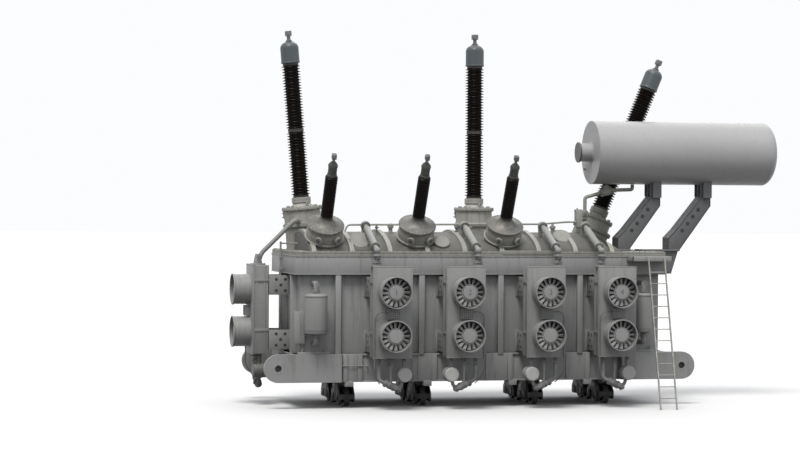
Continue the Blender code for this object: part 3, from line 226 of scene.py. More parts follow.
class Form:
    """One piece's mesh, gathered from solids, in metres from the tank's middle on the ground."""

    def __init__(self, place=None):
        self.shape = bmesh.new()
        self.place = place or Matrix.Identity(4)
        self.finish = 0

    def take(self, part, matrix=None):
        """Adds a solid to the piece, in the finish that is set."""
        for face in part.faces:
            face.material_index = self.finish
        matrix = self.place @ (matrix or Matrix.Identity(4))
        bmesh.ops.transform(part, matrix=matrix, verts=part.verts)
        passing = bpy.data.meshes.new("passing")
        part.to_mesh(passing)
        part.free()
        self.shape.from_mesh(passing)
        bpy.data.meshes.remove(passing)

    def block(self, low, high, edge=0.006, matrix=None):
        """A box with softened edges."""
        part = bmesh.new()
        bmesh.ops.create_cube(part, size=1.0)
        size = Vector(high) - Vector(low)
        middle = (Vector(high) + Vector(low)) / 2
        fit = Matrix.Translation(middle) @ Matrix.Diagonal(size.to_4d())
        bmesh.ops.transform(part, matrix=fit, verts=part.verts)
        if edge:
            edge = min(edge, min(size) * 0.4)
            bmesh.ops.bevel(part, geom=part.edges[:], offset=edge, segments=2, affect="EDGES", profile=0.5)
        self.take(part, matrix)

    def bar(self, x, half, low, high, edge=0.006):
        """A box centred on a place in X, between two (y, z) corners."""
        self.block((x - half, *low), (x + half, *high), edge)

    def slab(self, outline, low, high, along, edge=0.0):
        """An outline of (u, v) points extruded along X or Y, with its rims softened."""
        order = {"X": (2, 0, 1), "Y": (0, 2, 1)}[along]
        part = bmesh.new()
        loops = []
        for level in (low, high):
            loops.append([part.verts.new([(u, v, level)[i] for i in order]) for u, v in outline])
        caps = [part.faces.new(loops[0][::-1]), part.faces.new(loops[1])]
        for i in range(len(outline)):
            part.faces.new((loops[0][i - 1], loops[0][i], loops[1][i], loops[1][i - 1]))
        bmesh.ops.recalc_face_normals(part, faces=part.faces)
        if edge:
            rims = list({rim for cap in caps for rim in cap.edges})
            bmesh.ops.bevel(part, geom=rims, offset=edge, segments=2, affect="EDGES", profile=0.5)
        self.take(part)

    def lathe(self, profile, matrix=None, segments=48, ring=False):
        """A profile of (radius, height) points spun about Z."""
        part = bmesh.new()
        verts = [part.verts.new((radius, 0, height)) for radius, height in profile]
        edges = [part.edges.new(pair) for pair in zip(verts, verts[1:])]
        if ring:
            edges.append(part.edges.new((verts[-1], verts[0])))
        bmesh.ops.spin(
            part, geom=verts + edges, cent=(0, 0, 0), axis=(0, 0, 1), angle=math.tau, steps=segments,
            use_merge=True,
        )
        bmesh.ops.remove_doubles(part, verts=part.verts, dist=1e-6)
        bmesh.ops.recalc_face_normals(part, faces=part.faces)
        self.take(part, matrix)

    def drum(self, radius, low, high, matrix=None, segments=32, edge=0.004):
        """A solid round bar along Z with softened rims."""
        edge = min(edge, radius * 0.4, (high - low) * 0.4)
        lower = [(0, low), (radius - edge, low), (radius, low + edge)]
        upper = [(radius, high - edge), (radius - edge, high), (0, high)]
        self.lathe(lower + upper, matrix, segments)

    def ring(self, inner, outer, low, high, matrix=None, segments=28):
        """A square-edged ring about Z."""
        self.lathe([(inner, low), (outer, low), (outer, high), (inner, high)], matrix, segments, ring=True)

    def tube(self, points, radius, bend=0.0, segments=12, matrix=None):
        """A round bar along straight runs with rounded turns."""
        path = eased(points, bend)
        runs = [(b - a).normalized() for a, b in zip(path, path[1:])]
        aside = runs[0].orthogonal().normalized()
        upward = runs[0].cross(aside)
        turns = [math.tau * i / segments for i in range(segments)]
        ring = [path[0] + radius * (math.cos(t) * aside + math.sin(t) * upward) for t in turns]
        rings = [ring]
        for i, run in enumerate(runs):
            following = runs[min(i + 1, len(runs) - 1)]
            normal = (run + following).normalized()
            ring = [point + run * ((path[i + 1] - point).dot(normal) / run.dot(normal)) for point in ring]
            rings.append(ring)
        part = bmesh.new()
        loops = [[part.verts.new(point) for point in ring] for ring in rings]
        for near, far in zip(loops, loops[1:]):
            for i in range(segments):
                part.faces.new((near[i - 1], near[i], far[i], far[i - 1]))
        part.faces.new(loops[0][::-1])
        part.faces.new(loops[-1])
        bmesh.ops.recalc_face_normals(part, faces=part.faces)
        self.take(part, matrix)

    def bolts(self, spots, size, height, matrix=None):
        """Hexagon heads on washers, standing along Z at each spot."""
        part = bmesh.new()
        for spot in spots:
            spot = Vector(spot)
            washer, head = (size * 1.35, 0, height * 0.25, 8), (size, height * 0.2, height, 6)
            for radius, low, high, sides in (washer, head):
                lower, upper = (
                    [part.verts.new(spot + Vector((*around(radius, i, sides), z))) for i in range(sides)]
                    for z in (low, high)
                )
                part.faces.new(upper)
                for i in range(sides):
                    part.faces.new((lower[i - 1], lower[i], upper[i], upper[i - 1]))
        self.take(part, matrix)

    def bolt_ring(self, radius, count, height, size, matrix, tall):
        """Bolt heads on a circle."""
        spots = [(*around(radius, i, count), height) for i in range(count)]
        self.bolts(spots, size, tall, matrix)

    def flange(self, radius, low, high, matrix, count, bolt):
        """A round pipe flange with bolt heads on both faces."""
        self.drum(radius, low, high, matrix)
        circle = radius - bolt * 1.9
        self.bolt_ring(circle, count, high, bolt, matrix, bolt)
        self.bolt_ring(circle, count, -low, bolt, matrix @ turn(180, "X"), bolt)

    def make(self, name, finishes, body=ROOT, stands_for=()):
        """The finished object, riding on its body."""
        bmesh.ops.transform(self.shape, matrix=Matrix.Translation(TANK_MIDDLE), verts=self.shape.verts)
        mesh = bpy.data.meshes.new(name)
        self.shape.to_mesh(mesh)
        self.shape.free()
        mesh.shade_smooth()
        mesh.set_sharp_from_angle(angle=math.radians(SHARP_ANGLE))
        for finish in finishes:
            mesh.materials.append(finish_named(finish))
        piece = bpy.data.objects.new(name, mesh)
        bpy.context.scene.collection.objects.link(piece)
        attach(piece, body)
        if stands_for:
            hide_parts(*stands_for)

    def stand_for(self, node, finishes):
        """The finished object in place of one node of the standing body."""
        self.make(f"{node}_detail", finishes, stands_for=[node])


def around(radius, i, count):
    """The i-th of some evenly spaced points on a circle."""
    return radius * math.cos(math.tau * i / count), radius * math.sin(math.tau * i / count)


def eased(points, bend):
    """Points of a path with each corner rounded over a length."""
    steps = 6
    path = [Vector(point) for point in points]
    if not bend or len(path) < 3:
        return path
    smooth = [path[0]]
    for before, corner, after in zip(path, path[1:], path[2:]):
        near = min(bend, (before - corner).length * 0.48)
        far = min(bend, (after - corner).length * 0.48)
        start = corner + (before - corner).normalized() * near
        end = corner + (after - corner).normalized() * far
        for i in range(steps + 1):
            t = i / steps
            smooth.append(start * (1 - t) ** 2 + corner * 2 * t * (1 - t) + end * t * t)
    smooth.append(path[-1])
    return smooth


def bolt_line(half):
    """Evenly spaced bolt places from -half to half."""
    count = int(2 * half / BOLT_PITCH)
    return [-half + (i + 0.5) * 2 * half / count for i in range(count)]


def span_at(side, near, far):
    """Two distances from the middle, on one side of it, in rising order."""
    return sorted((side * near, side * far))


def arc(middle, radius, start, end, steps):
    turns = [math.radians(start + (end - start) * i / steps) for i in range(steps + 1)]
    return [(middle[0] + radius * math.cos(t), middle[1] + radius * math.sin(t)) for t in turns]


class Signal:
    """A shader socket that Python's arithmetic builds Math nodes from."""

    def __init__(self, recipe, socket):
        self.recipe = recipe
        self.socket = socket

    def _math(self, operation, first, second):
        return self.recipe.node("ShaderNodeMath", {"operation": operation}, {0: first, 1: second})

    def __add__(self, other):
        return self._math("ADD", self, other)

    def __radd__(self, other):
        return self._math("ADD", other, self)

    def __sub__(self, other):
        return self._math("SUBTRACT", self, other)

    def __rsub__(self, other):
        return self._math("SUBTRACT", other, self)

    def __mul__(self, other):
        return self._math("MULTIPLY", self, other)

    def __rmul__(self, other):
        return self._math("MULTIPLY", other, self)


class Recipe:
    """One material, or the world, and the nodes that make it."""

    def __init__(self, name, world=None):
        self.material = world or bpy.data.materials.new(name)
        self.material.use_nodes = True
        self.tree = self.material.node_tree
        self.surface = self.tree.nodes["Background" if world else "Principled BSDF"]
        self.place = self.node("ShaderNodeTexCoord", output="Object")

    def node(self, kind, settings=None, inputs=None, output=0):
        made = self.tree.nodes.new(kind)
        for key, value in (settings or {}).items():
            setattr(made, key, value)
        for key, value in (inputs or {}).items():
            if isinstance(value, Signal):
                self.tree.links.new(value.socket, made.inputs[key])
            else:
                made.inputs[key].default_value = value
        return Signal(self, made.outputs[output])

    def feed(self, name, value):
        """Puts a value or a signal on one of the surface's own sockets."""
        socket = self.surface.inputs[name]
        if isinstance(value, Signal):
            self.tree.links.new(value.socket, socket)
        else:
            socket.default_value = value

    def mix(self, mask, first, second):
        settings = {"data_type": "RGBA", "clamp_factor": True}
        return self.node("ShaderNodeMix", settings, {0: mask, 6: first, 7: second}, output=2)

    def noise(self, scale, detail=3.0, stretch=(1, 1, 1), roughness=0.55):
        place = self.place
        if stretch != (1, 1, 1):
            place = self.node("ShaderNodeMapping", None, {"Vector": place, "Scale": stretch})
        inputs = {"Vector": place, "Scale": scale, "Detail": detail, "Roughness": roughness}
        return self.node("ShaderNodeTexNoise", None, inputs)

    def band(self, value, low, high):
        """0 below low, 1 above high and smooth between."""
        inputs = {"Value": value, "From Min": low, "From Max": high}
        return self.node("ShaderNodeMapRange", {"interpolation_type": "SMOOTHSTEP"}, inputs)

    def facing_up(self):
        normal = self.node("ShaderNodeNewGeometry", output="Normal")
        return self.node("ShaderNodeSeparateXYZ", None, {"Vector": normal}, "Z")

    def seen(self):
        """1 for what the camera sees directly or in a reflection."""
        rays = self.tree.nodes.new("ShaderNodeLightPath")
        direct, glossy = (Signal(self, rays.outputs[name]) for name in ("Is Camera Ray", "Is Glossy Ray"))
        return self.node("ShaderNodeMath", {"operation": "MAXIMUM"}, {0: direct, 1: glossy})

    def bump(self, height, strength, distance):
        inputs = {"Height": height, "Strength": strength, "Distance": distance}
        self.feed("Normal", self.node("ShaderNodeBump", None, inputs))


def rgb(colour):
    return tuple(colour[:3]) + (1.0,)


def scaled(colour, share):
    return tuple(min(1.0, part * share) for part in colour[:3]) + (1.0,)


DIRT = (0.105, 0.10, 0.088)
DUST = (0.27, 0.262, 0.24)
RUST = (0.17, 0.075, 0.035)


def weathered(name, colour, roughness, streaks, dust, rust, grain=1.0):
    """Old outdoor paint: patchy colour, dirt that runs down, dust on top and rust in specks."""
    recipe = Recipe(name)
    patch = recipe.noise(0.9 * grain, 5.0)
    fine = recipe.noise(14.0 * grain, 6.0, roughness=0.65)
    runs = recipe.noise(1.0, 5.0, stretch=(7.0, 7.0, 0.55), roughness=0.6)
    paint = recipe.mix(patch, scaled(colour, 0.86), scaled(colour, 1.12))
    paint = recipe.mix(recipe.band(fine, 0.35, 0.75) * 0.25, paint, scaled(colour, 0.80))
    dirt = recipe.band(runs, 0.50, 0.74) * streaks
    paint = recipe.mix(dirt, paint, rgb(DIRT))
    up = recipe.band(recipe.facing_up(), 0.35, 0.95)
    paint = recipe.mix(up * (recipe.band(patch, 0.3, 0.6) * dust + dust * 0.3), paint, rgb(DUST))
    specks = recipe.band(recipe.noise(5.0 * grain, 9.0, roughness=0.7), 0.62, 0.70) * rust
    paint = recipe.mix(specks, paint, rgb(RUST))
    recipe.feed("Base Color", paint)
    recipe.feed("Roughness", recipe.band(fine, 0.2, 0.8) * 0.18 + (roughness - 0.06) + dirt * 0.2)
    recipe.bump(fine + specks * 0.6, 0.18, 0.004)
    return recipe.material


def glazed(name, colour):
    """Dark glazed porcelain with a dusty bloom on the upper faces."""
    recipe = Recipe(name)
    patch = recipe.noise(2.2, 4.0)
    glaze = recipe.mix(patch, scaled(colour, 0.75), scaled(colour, 1.35))
    up = recipe.band(recipe.facing_up(), 0.1, 0.9)
    glaze = recipe.mix(
        up * recipe.band(recipe.noise(6.0, 4.0), 0.35, 0.7) * 0.30, glaze, (0.020, 0.015, 0.012, 1),
    )
    recipe.feed("Base Color", glaze)
    recipe.feed("Roughness", recipe.band(patch, 0.2, 0.8) * 0.12 + 0.26)
    recipe.feed("Specular IOR Level", 0.12)
    recipe.bump(recipe.noise(9.0, 2.0), 0.05, 0.002)
    return recipe.material


def zinc(name, colour, metallic, rust):
    """Hot-dip galvanised steel gone dull: spangle, white bloom and rust tint."""
    recipe = Recipe(name)
    cells = recipe.node("ShaderNodeTexVoronoi", None, {"Vector": recipe.place, "Scale": 42.0}, "Color")
    tone = recipe.node("ShaderNodeSeparateColor", None, {0: cells}, 0)
    patch = recipe.noise(3.0, 6.0, roughness=0.6)
    metal = recipe.mix(tone * 0.7, scaled(colour, 0.84), scaled(colour, 1.12))
    metal = recipe.mix(recipe.band(patch, 0.45, 0.62) * 0.6, metal, scaled(colour, 0.55))
    metal = recipe.mix(recipe.band(recipe.noise(11.0, 5.0), 0.5, 0.62) * 0.45, metal, scaled(colour, 1.5))
    tint = recipe.band(recipe.noise(2.1, 7.0, roughness=0.7), 0.54, 0.70) * rust
    metal = recipe.mix(tint, metal, (0.24, 0.15, 0.085, 1))
    recipe.feed("Base Color", metal)
    recipe.feed("Roughness", tone * 0.12 + 0.48)
    recipe.feed("Metallic", metallic)
    recipe.bump(patch + tint, 0.2, 0.004)
    return recipe.material


def rusty(name, colour):
    """Bare steel under a full coat of rust."""
    recipe = Recipe(name)
    patch = recipe.noise(6.0, 8.0, roughness=0.7)
    metal = recipe.mix(patch, scaled(colour, 0.55), scaled(colour, 1.7))
    recipe.feed("Base Color", metal)
    recipe.feed("Roughness", 0.85)
    recipe.bump(patch, 0.4, 0.004)
    return recipe.material


def greasy(name, colour):
    """Black running gear, caked with oil and brake dust."""
    recipe = Recipe(name)
    patch = recipe.noise(5.0, 7.0, roughness=0.65)
    metal = recipe.mix(recipe.band(patch, 0.4, 0.75) * 0.8, rgb(colour), (0.045, 0.036, 0.028, 1))
    recipe.feed("Base Color", metal)
    recipe.feed("Roughness", recipe.band(patch, 0.3, 0.7) * 0.4 + 0.42)
    recipe.bump(patch, 0.35, 0.006)
    return recipe.material


def rubber(name, colour):
    """Dull black, greyed in patches: painted shade for the discs that stand for holes."""
    recipe = Recipe(name)
    patch = recipe.noise(20.0, 4.0)
    recipe.feed("Base Color", recipe.mix(patch, rgb(colour), (0.05, 0.05, 0.05, 1)))
    recipe.feed("Roughness", 0.7)
    return recipe.material


# Maker, colour or the name of one of the scene's colours, share of that colour, and the maker's own numbers
FINISHES = {
    "tank_finish": (weathered, "tank", 1.0, 0.55, 0.42, 0.45, 0.30),
    "cover_finish": (weathered, "cover", 1.0, 0.62, 0.55, 0.60, 0.30),
    "cooler_finish": (weathered, "cooler", 1.0, 0.50, 0.28, 0.35, 0.12),
    "fan_finish": (weathered, "cooler", 1.15, 0.45, 0.15, 0.2, 0.05, 2.0),
    # Dark paint of the hub numbers and the middle of the nozzle caps; also painted shade on the dark sheets
    # that stand for holes and for the fan barrels' deep insides
    "duct_finish": (weathered, "duct", 1.0, 0.6, 0.3, 0.1, 0.1),
    "pump_finish": (weathered, "pump", 1.0, 0.5, 0.12, 0.2, 0.12, 2.0),
    "conservator_finish": (weathered, "conservator", 1.0, 0.42, 0.06, 0.20, 0.04, 0.7),
    "strut_finish": (weathered, "strut", 1.0, 0.55, 0.3, 0.3, 0.45),
    "head_finish": (weathered, "head", 1.0, 0.42, 0.15, 0.2, 0.08, 2.0),
    "short_head_finish": (weathered, "short_head", 1.0, 0.5, 0.2, 0.2, 0.1, 2.0),
    "porcelain_finish": (glazed, "porcelain", 1.0),
    "zinc_finish": (zinc, "zinc", 1.0, 0.35, 0.35),
    # Cover paint made lighter: painted highlight on the ribs, and the paint of the roof's thin pipes, vents
    # and vessel
    "rib_finish": (weathered, "cover", 1.25, 0.6, 0.5, 0.5, 0.2),
    "band_finish": (weathered, (0.05, 0.045, 0.042), 1.0, 0.5, 0.2, 0.1, 0.1, 2.0),
    "valve_finish": (weathered, (0.11, 0.11, 0.105), 1.0, 0.55, 0.3, 0.2, 0.3, 2.0),
    "bolt_finish": (zinc, (0.30, 0.28, 0.25), 1.0, 0.4, 0.6),
    "clamp_finish": (zinc, (0.16, 0.16, 0.165), 1.0, 0.5, 0.2),
    "wheel_finish": (zinc, (0.06, 0.055, 0.05), 1.0, 0.3, 0.4),
    "rust_finish": (rusty, (0.11, 0.065, 0.042), 1.0),
    # Cover paint made much darker, with dirt streaks: dirt and painted shade on the vault between the ribs
    "vault_finish": (weathered, "cover", 0.30, 0.65, 0.6, 0.15, 0.35),
    "turret_finish": (weathered, "cover", 1.3, 0.6, 0.5, 0.35, 0.2),
    # Supports' paint made much darker for the flange rims: painted shade along the flanges
    "strut_rim_finish": (weathered, "strut", 0.35, 0.55, 0.3, 0.3, 0.4),
    "ladder_finish": (zinc, (0.36, 0.35, 0.32), 1.0, 0.2, 0.2),
    "lead_finish": (weathered, (0.16, 0.16, 0.155), 1.0, 0.6, 0.2, 0.1, 0.1, 2.0),
    "bogie_finish": (greasy, "bogie", 1.0),
    # Black of the discs that stand for holes and openings: painted shade
    "hose_finish": (rubber, (0.015, 0.015, 0.016), 1.0),
}


def finish_named(name):
    """The named finish, made once from the colours that the scene holds."""
    made = bpy.data.materials.get(name)
    if made:
        return made
    maker, colour, share, *numbers = FINISHES[name]
    if isinstance(colour, str):
        colour = getattr(bpy.context.scene.transformer_colours, colour)
    return maker(name, scaled(colour, share), *numbers)


def colour_property(name, description, default):
    return bpy.props.FloatVectorProperty(
        name=name, description=description, subtype="COLOR", size=3, min=0.0, max=1.0, default=default
    )


class TransformerColours(bpy.types.PropertyGroup):
    """Paint and material colours of the transformer."""

    tank: colour_property("Tank", "Paint of the tank and the landing", (0.27, 0.272, 0.269))
    cover: colour_property("Cover", "Paint of the arched cover and its turrets", (0.25, 0.247, 0.225))
    cooler: colour_property("Coolers", "Paint of the cooler casings, fans and filters", (0.238, 0.241, 0.235))
    # Dark paint of the hub numbers; also painted shade in holes and inside the fan barrels
    duct: colour_property("Ducts", "Inside of the fan barrels", (0.10, 0.10, 0.10))
    pump: colour_property("Pumps", "Paint of the oil pumps", (0.42, 0.42, 0.405))
    conservator: colour_property("Conservator", "Paint of the oil conservator", (0.36, 0.357, 0.36))
    strut: colour_property("Supports", "Paint of the conservator's supports", (0.125, 0.128, 0.132))
    head: colour_property("Tall heads", "Paint of the tall bushings' head caps", (0.062, 0.076, 0.083))
    short_head: colour_property(
        "Short heads", "Paint of the short bushings' head caps", (0.042, 0.042, 0.036),
    )
    porcelain: colour_property("Porcelain", "Glaze of the bushings", (0.006, 0.0038, 0.0028))
    zinc: colour_property("Zinc", "Galvanised dishes", (0.15, 0.147, 0.135))
    bogie: colour_property("Bogies", "Running gear", (0.010, 0.010, 0.010))
    floor: colour_property("Floor", "Plain floor and backdrop", (0.62, 0.62, 0.62))


class TransformerSizes(bpy.types.PropertyGroup):
    """Counts and small sizes that the detailed pieces are built from."""

    tall_sheds: bpy.props.IntProperty(
        name="Tall sheds", description="Sheds on one tall bushing", default=47, min=8, max=80
    )
    short_sheds: bpy.props.IntProperty(
        name="Short sheds", description="Sheds on one short bushing", default=24, min=4, max=40
    )
    fan_blades: bpy.props.IntProperty(
        name="Fan blades", description="Blades on one rotor", default=16, min=6, max=30,
    )
    rung_pitch: bpy.props.FloatProperty(
        name="Rung pitch", description="Height between the ladder's rungs", default=0.30, unit="LENGTH"
    )


def vault_outline(proud):
    """The cover's arch in Y and Z, closed below inside the flange."""
    steps = 44
    reach = VAULT_HALF_WIDTH + proud
    power = 2 / VAULT_ROUNDNESS
    points = []
    for i in range(steps + 1):
        t = math.pi * i / steps
        across = math.copysign(abs(math.cos(t)) ** power, math.cos(t))
        rise = (VAULT_RISE + 0.03 + proud) * abs(math.sin(t)) ** power
        points.append((reach * across, FLANGE_TOP - 0.03 + rise))
    return points


def vault_height(y):
    share = min(1.0, abs(y) / VAULT_HALF_WIDTH)
    return FLANGE_TOP + VAULT_RISE * (1 - share**VAULT_ROUNDNESS) ** (1 / VAULT_ROUNDNESS)


class TRANSFORMER_OT_tank(bpy.types.Operator):
    """Tank with its girder, ribs, haulage plates, jacking pads and cover bolts"""

    bl_idname = "transformer.tank"
    bl_label = "Tank"

    def execute(self, context):
        form = Form()
        x, y = TANK_LENGTH / 2, TANK_WIDTH / 2
        wall_x, wall_y = x - WALL_RECESS, y - WALL_RECESS
        form.block((-x + 0.01, -y + 0.09, TANK_BOTTOM), (x - 0.01, y - 0.09, LOWER_TIER_TOP), 0.01)
        form.block((-x, -y + 0.05, LOWER_TIER_TOP - 0.045), (x, y - 0.05, LOWER_TIER_TOP), 0.006)
        form.block((-x, -y + 0.05, TANK_BOTTOM), (x, y - 0.05, TANK_BOTTOM + 0.035), 0.006)
        form.block((-wall_x, -wall_y, LOWER_TIER_TOP - 0.1), (wall_x, wall_y, GIRDER_BOTTOM + 0.1), 0.01)
        form.block((-x + 0.012, -y + 0.012, GIRDER_BOTTOM), (x - 0.012, y - 0.012, GIRDER_TOP), 0.008)
        form.block((-x, -y, GIRDER_BOTTOM), (x, y, GIRDER_BOTTOM + 0.022), 0.005)
        form.block((-x, -y, GIRDER_TOP - 0.03), (x, y, GIRDER_TOP), 0.005)
        for low, high in LOWER_PANELS:
            form.block((low, -y + 0.04, TANK_BOTTOM + 0.01), (high, y - 0.04, LOWER_TIER_TOP - 0.01), 0.006)
        for rib in LOWER_RIB_X:
            form.bar(rib, 0.065, (-y + 0.012, TANK_BOTTOM + 0.005), (y - 0.012, LOWER_TIER_TOP - 0.005))
        for rib in WALL_RIB_X:
            form.bar(
                rib, 0.075, (-y + 0.012, LOWER_TIER_TOP - 0.03), (y - 0.012, GIRDER_BOTTOM + 0.02), 0.008,
            )
            for side in (-1, 1):
                span = span_at(side, wall_y, wall_y + 0.012)
                form.bar(rib, 0.10, (span[0], LOWER_TIER_TOP), (span[1], GIRDER_BOTTOM), 0.004)
        for rib in END_RIB_Y:
            form.block(
                (-x + 0.012, rib - 0.075, LOWER_TIER_TOP - 0.03),
                (x - 0.012, rib + 0.075, GIRDER_BOTTOM + 0.02), 0.008,
            )
        for pad in PAD_X:
            for side in (-1, 1):
                span = span_at(side, y - 0.014, y - 0.154)
                form.bar(pad, 0.11, (span[0], 0.58), (span[1], TANK_BOTTOM + 0.02), 0.008)
                form.bar(pad, 0.085, (span[0] + 0.02, 0.60), (span[1] - 0.02, TANK_BOTTOM + 0.03), 0.01)
        self.haulage(form, x, y)
        self.cabinet(form, wall_y)
        self.pipes(form, x, y)
        form.finish = 1
        self.cover_bolts(form, x, y)
        form.make(
            "tank_detail", ["tank_finish", "bolt_finish", "duct_finish"],
            stands_for=["tank_body"],
        )
        return {"FINISHED"}

    def haulage(self, form, x, y):
        """Haulage plates past both ends of the lower tier, each with a ringed eye."""
        radius = (LOWER_TIER_TOP - TANK_BOTTOM) / 2 - COVER_SEAM
        middle = (LOWER_TIER_TOP + TANK_BOTTOM) / 2
        eye = x + HAUL_REACH - radius
        for side in (-1, 1):
            for end in (-1, 1):
                span = span_at(side, y + 0.06, y - 0.08)
                part = bmesh.new()
                rim = arc((eye, middle), radius, -90, 90, 28)
                outline = [(x - 1.26, middle - radius)] + rim + [(x - 1.26, middle + radius)]
                hole = arc((eye, middle), HAUL_EYE_RADIUS, 0, 360, 32)[:-1]
                plate_with_hole(
                    part, [(end * u, v) for u, v in outline], [(end * u, v) for u, v in hole], span,
                )
                form.take(part)
                ring = FRONT if side < 0 else FRONT @ turn(180, "X")
                matrix = shift(end * eye, side * (y + 0.06), middle) @ ring
                form.lathe(
                    [(HAUL_EYE_RADIUS, 0), (0.14, 0), (0.137, 0.004), (0.092, 0.004)], matrix, 40, ring=True,
                )
                # A dark cup closes each eye from behind: painted shade in place of the view through the hole
                form.finish = 2
                cup = [
                    (0.0872, -0.004), (0.0872, -0.14), (0, -0.14), (0, -0.10), (0.082, -0.10),
                    (0.084, -0.004),
                ]
                form.lathe(cup, matrix, 40)
                form.finish = 0

    def cabinet(self, form, wall_y):
        """Control box on the wall, with its door, hinges and cable glands."""
        front = -wall_y - 0.165
        (left, right), (low, high) = CABINET_X, CABINET_Z
        form.block((left, front, low), (right, -wall_y + 0.05, high), 0.008)
        form.block((left + 0.02, front - 0.005, low + 0.03), (right - 0.02, front + 0.01, high - 0.03), 0.004)
        for z in (1.86, 2.38):
            form.drum(0.01, 0, 0.06, shift(-4.85, front - 0.003, z), 10)
        for i in range(3):
            form.drum(0.018, -0.05, 0.0, shift(left + 0.05 + i * 0.07, -wall_y - 0.09, low), 12)

    def pipes(self, form, x, y):
        """Thin pipe up the left end, small rails on the front and the ledge under the filters."""
        form.tube([(-x - 0.05, 0.05, 1.30), (-x - 0.05, 0.05, 4.36)], 0.028)
        form.tube([(-x - 0.05, 0.05, 4.31), (VAULT_LEFT + 0.02, 0.05, 4.31)], 0.022)
        for z in (1.36, 3.60, 3.92):
            form.block((-x - 0.085, 0.0, z), (-x + 0.01, 0.10, z + 0.03), 0.004)
        form.tube([(-3.93, -y - 0.012, 1.13), (-3.12, -y - 0.012, 1.13)], 0.012, 0, 8)
        for u in (-3.90, -3.52, -3.15):
            form.bar(u, 0.01, (-y - 0.02, 1.10), (-y + 0.07, 1.16), 0.003)
        for u, _ in FILTERS:
            form.bar(u, 0.42, (-y + 0.04, LOWER_TIER_TOP), (-y + 0.20, LOWER_TIER_TOP + 0.05), 0.006)
            for side in (-0.3, 0.3):
                form.drum(0.022, 0, 0.12, shift(u + side, -y + 0.12, LOWER_TIER_TOP + 0.04), 12)

    def cover_bolts(self, form, x, y):
        """Bolt heads under the cover flange, on the girder's face."""
        spots = [(place, 0, 0) for place in bolt_line(x)]
        for side in (-1, 1):
            row = shift(y=side * (y - 0.012), z=GIRDER_TOP - 0.001)
            form.bolts(spots, 0.017, 0.016, row @ turn(180, "X") @ shift(z=0.028))


def plate_with_hole(part, outline, hole, span):
    """Fills a plate between an outline and a hole, both as points in X and Z, over a span of Y."""
    low, high = span
    sheets = []
    for level in (low, high):
        outer = [part.verts.new((u, level, v)) for u, v in outline]
        inner = [part.verts.new((u, level, v)) for u, v in hole]
        edges = [part.edges.new((ring[i - 1], ring[i])) for ring in (outer, inner) for i in range(len(ring))]
        bmesh.ops.triangle_fill(part, use_beauty=True, edges=edges)
        sheets.append((outer, inner))
    for near, far in zip(*sheets):
        for i in range(len(near)):
            part.faces.new((near[i - 1], near[i], far[i], far[i - 1]))
    bmesh.ops.recalc_face_normals(part, faces=part.faces)


def hv_axis(place):
    x, lean, _, _ = place
    return shift(x, HV_Y, GIRDER_TOP) @ turn(lean, "Y")


def mv_axis(x):
    return shift(x, *MV_BASE) @ turn(MV_LEAN, "X")


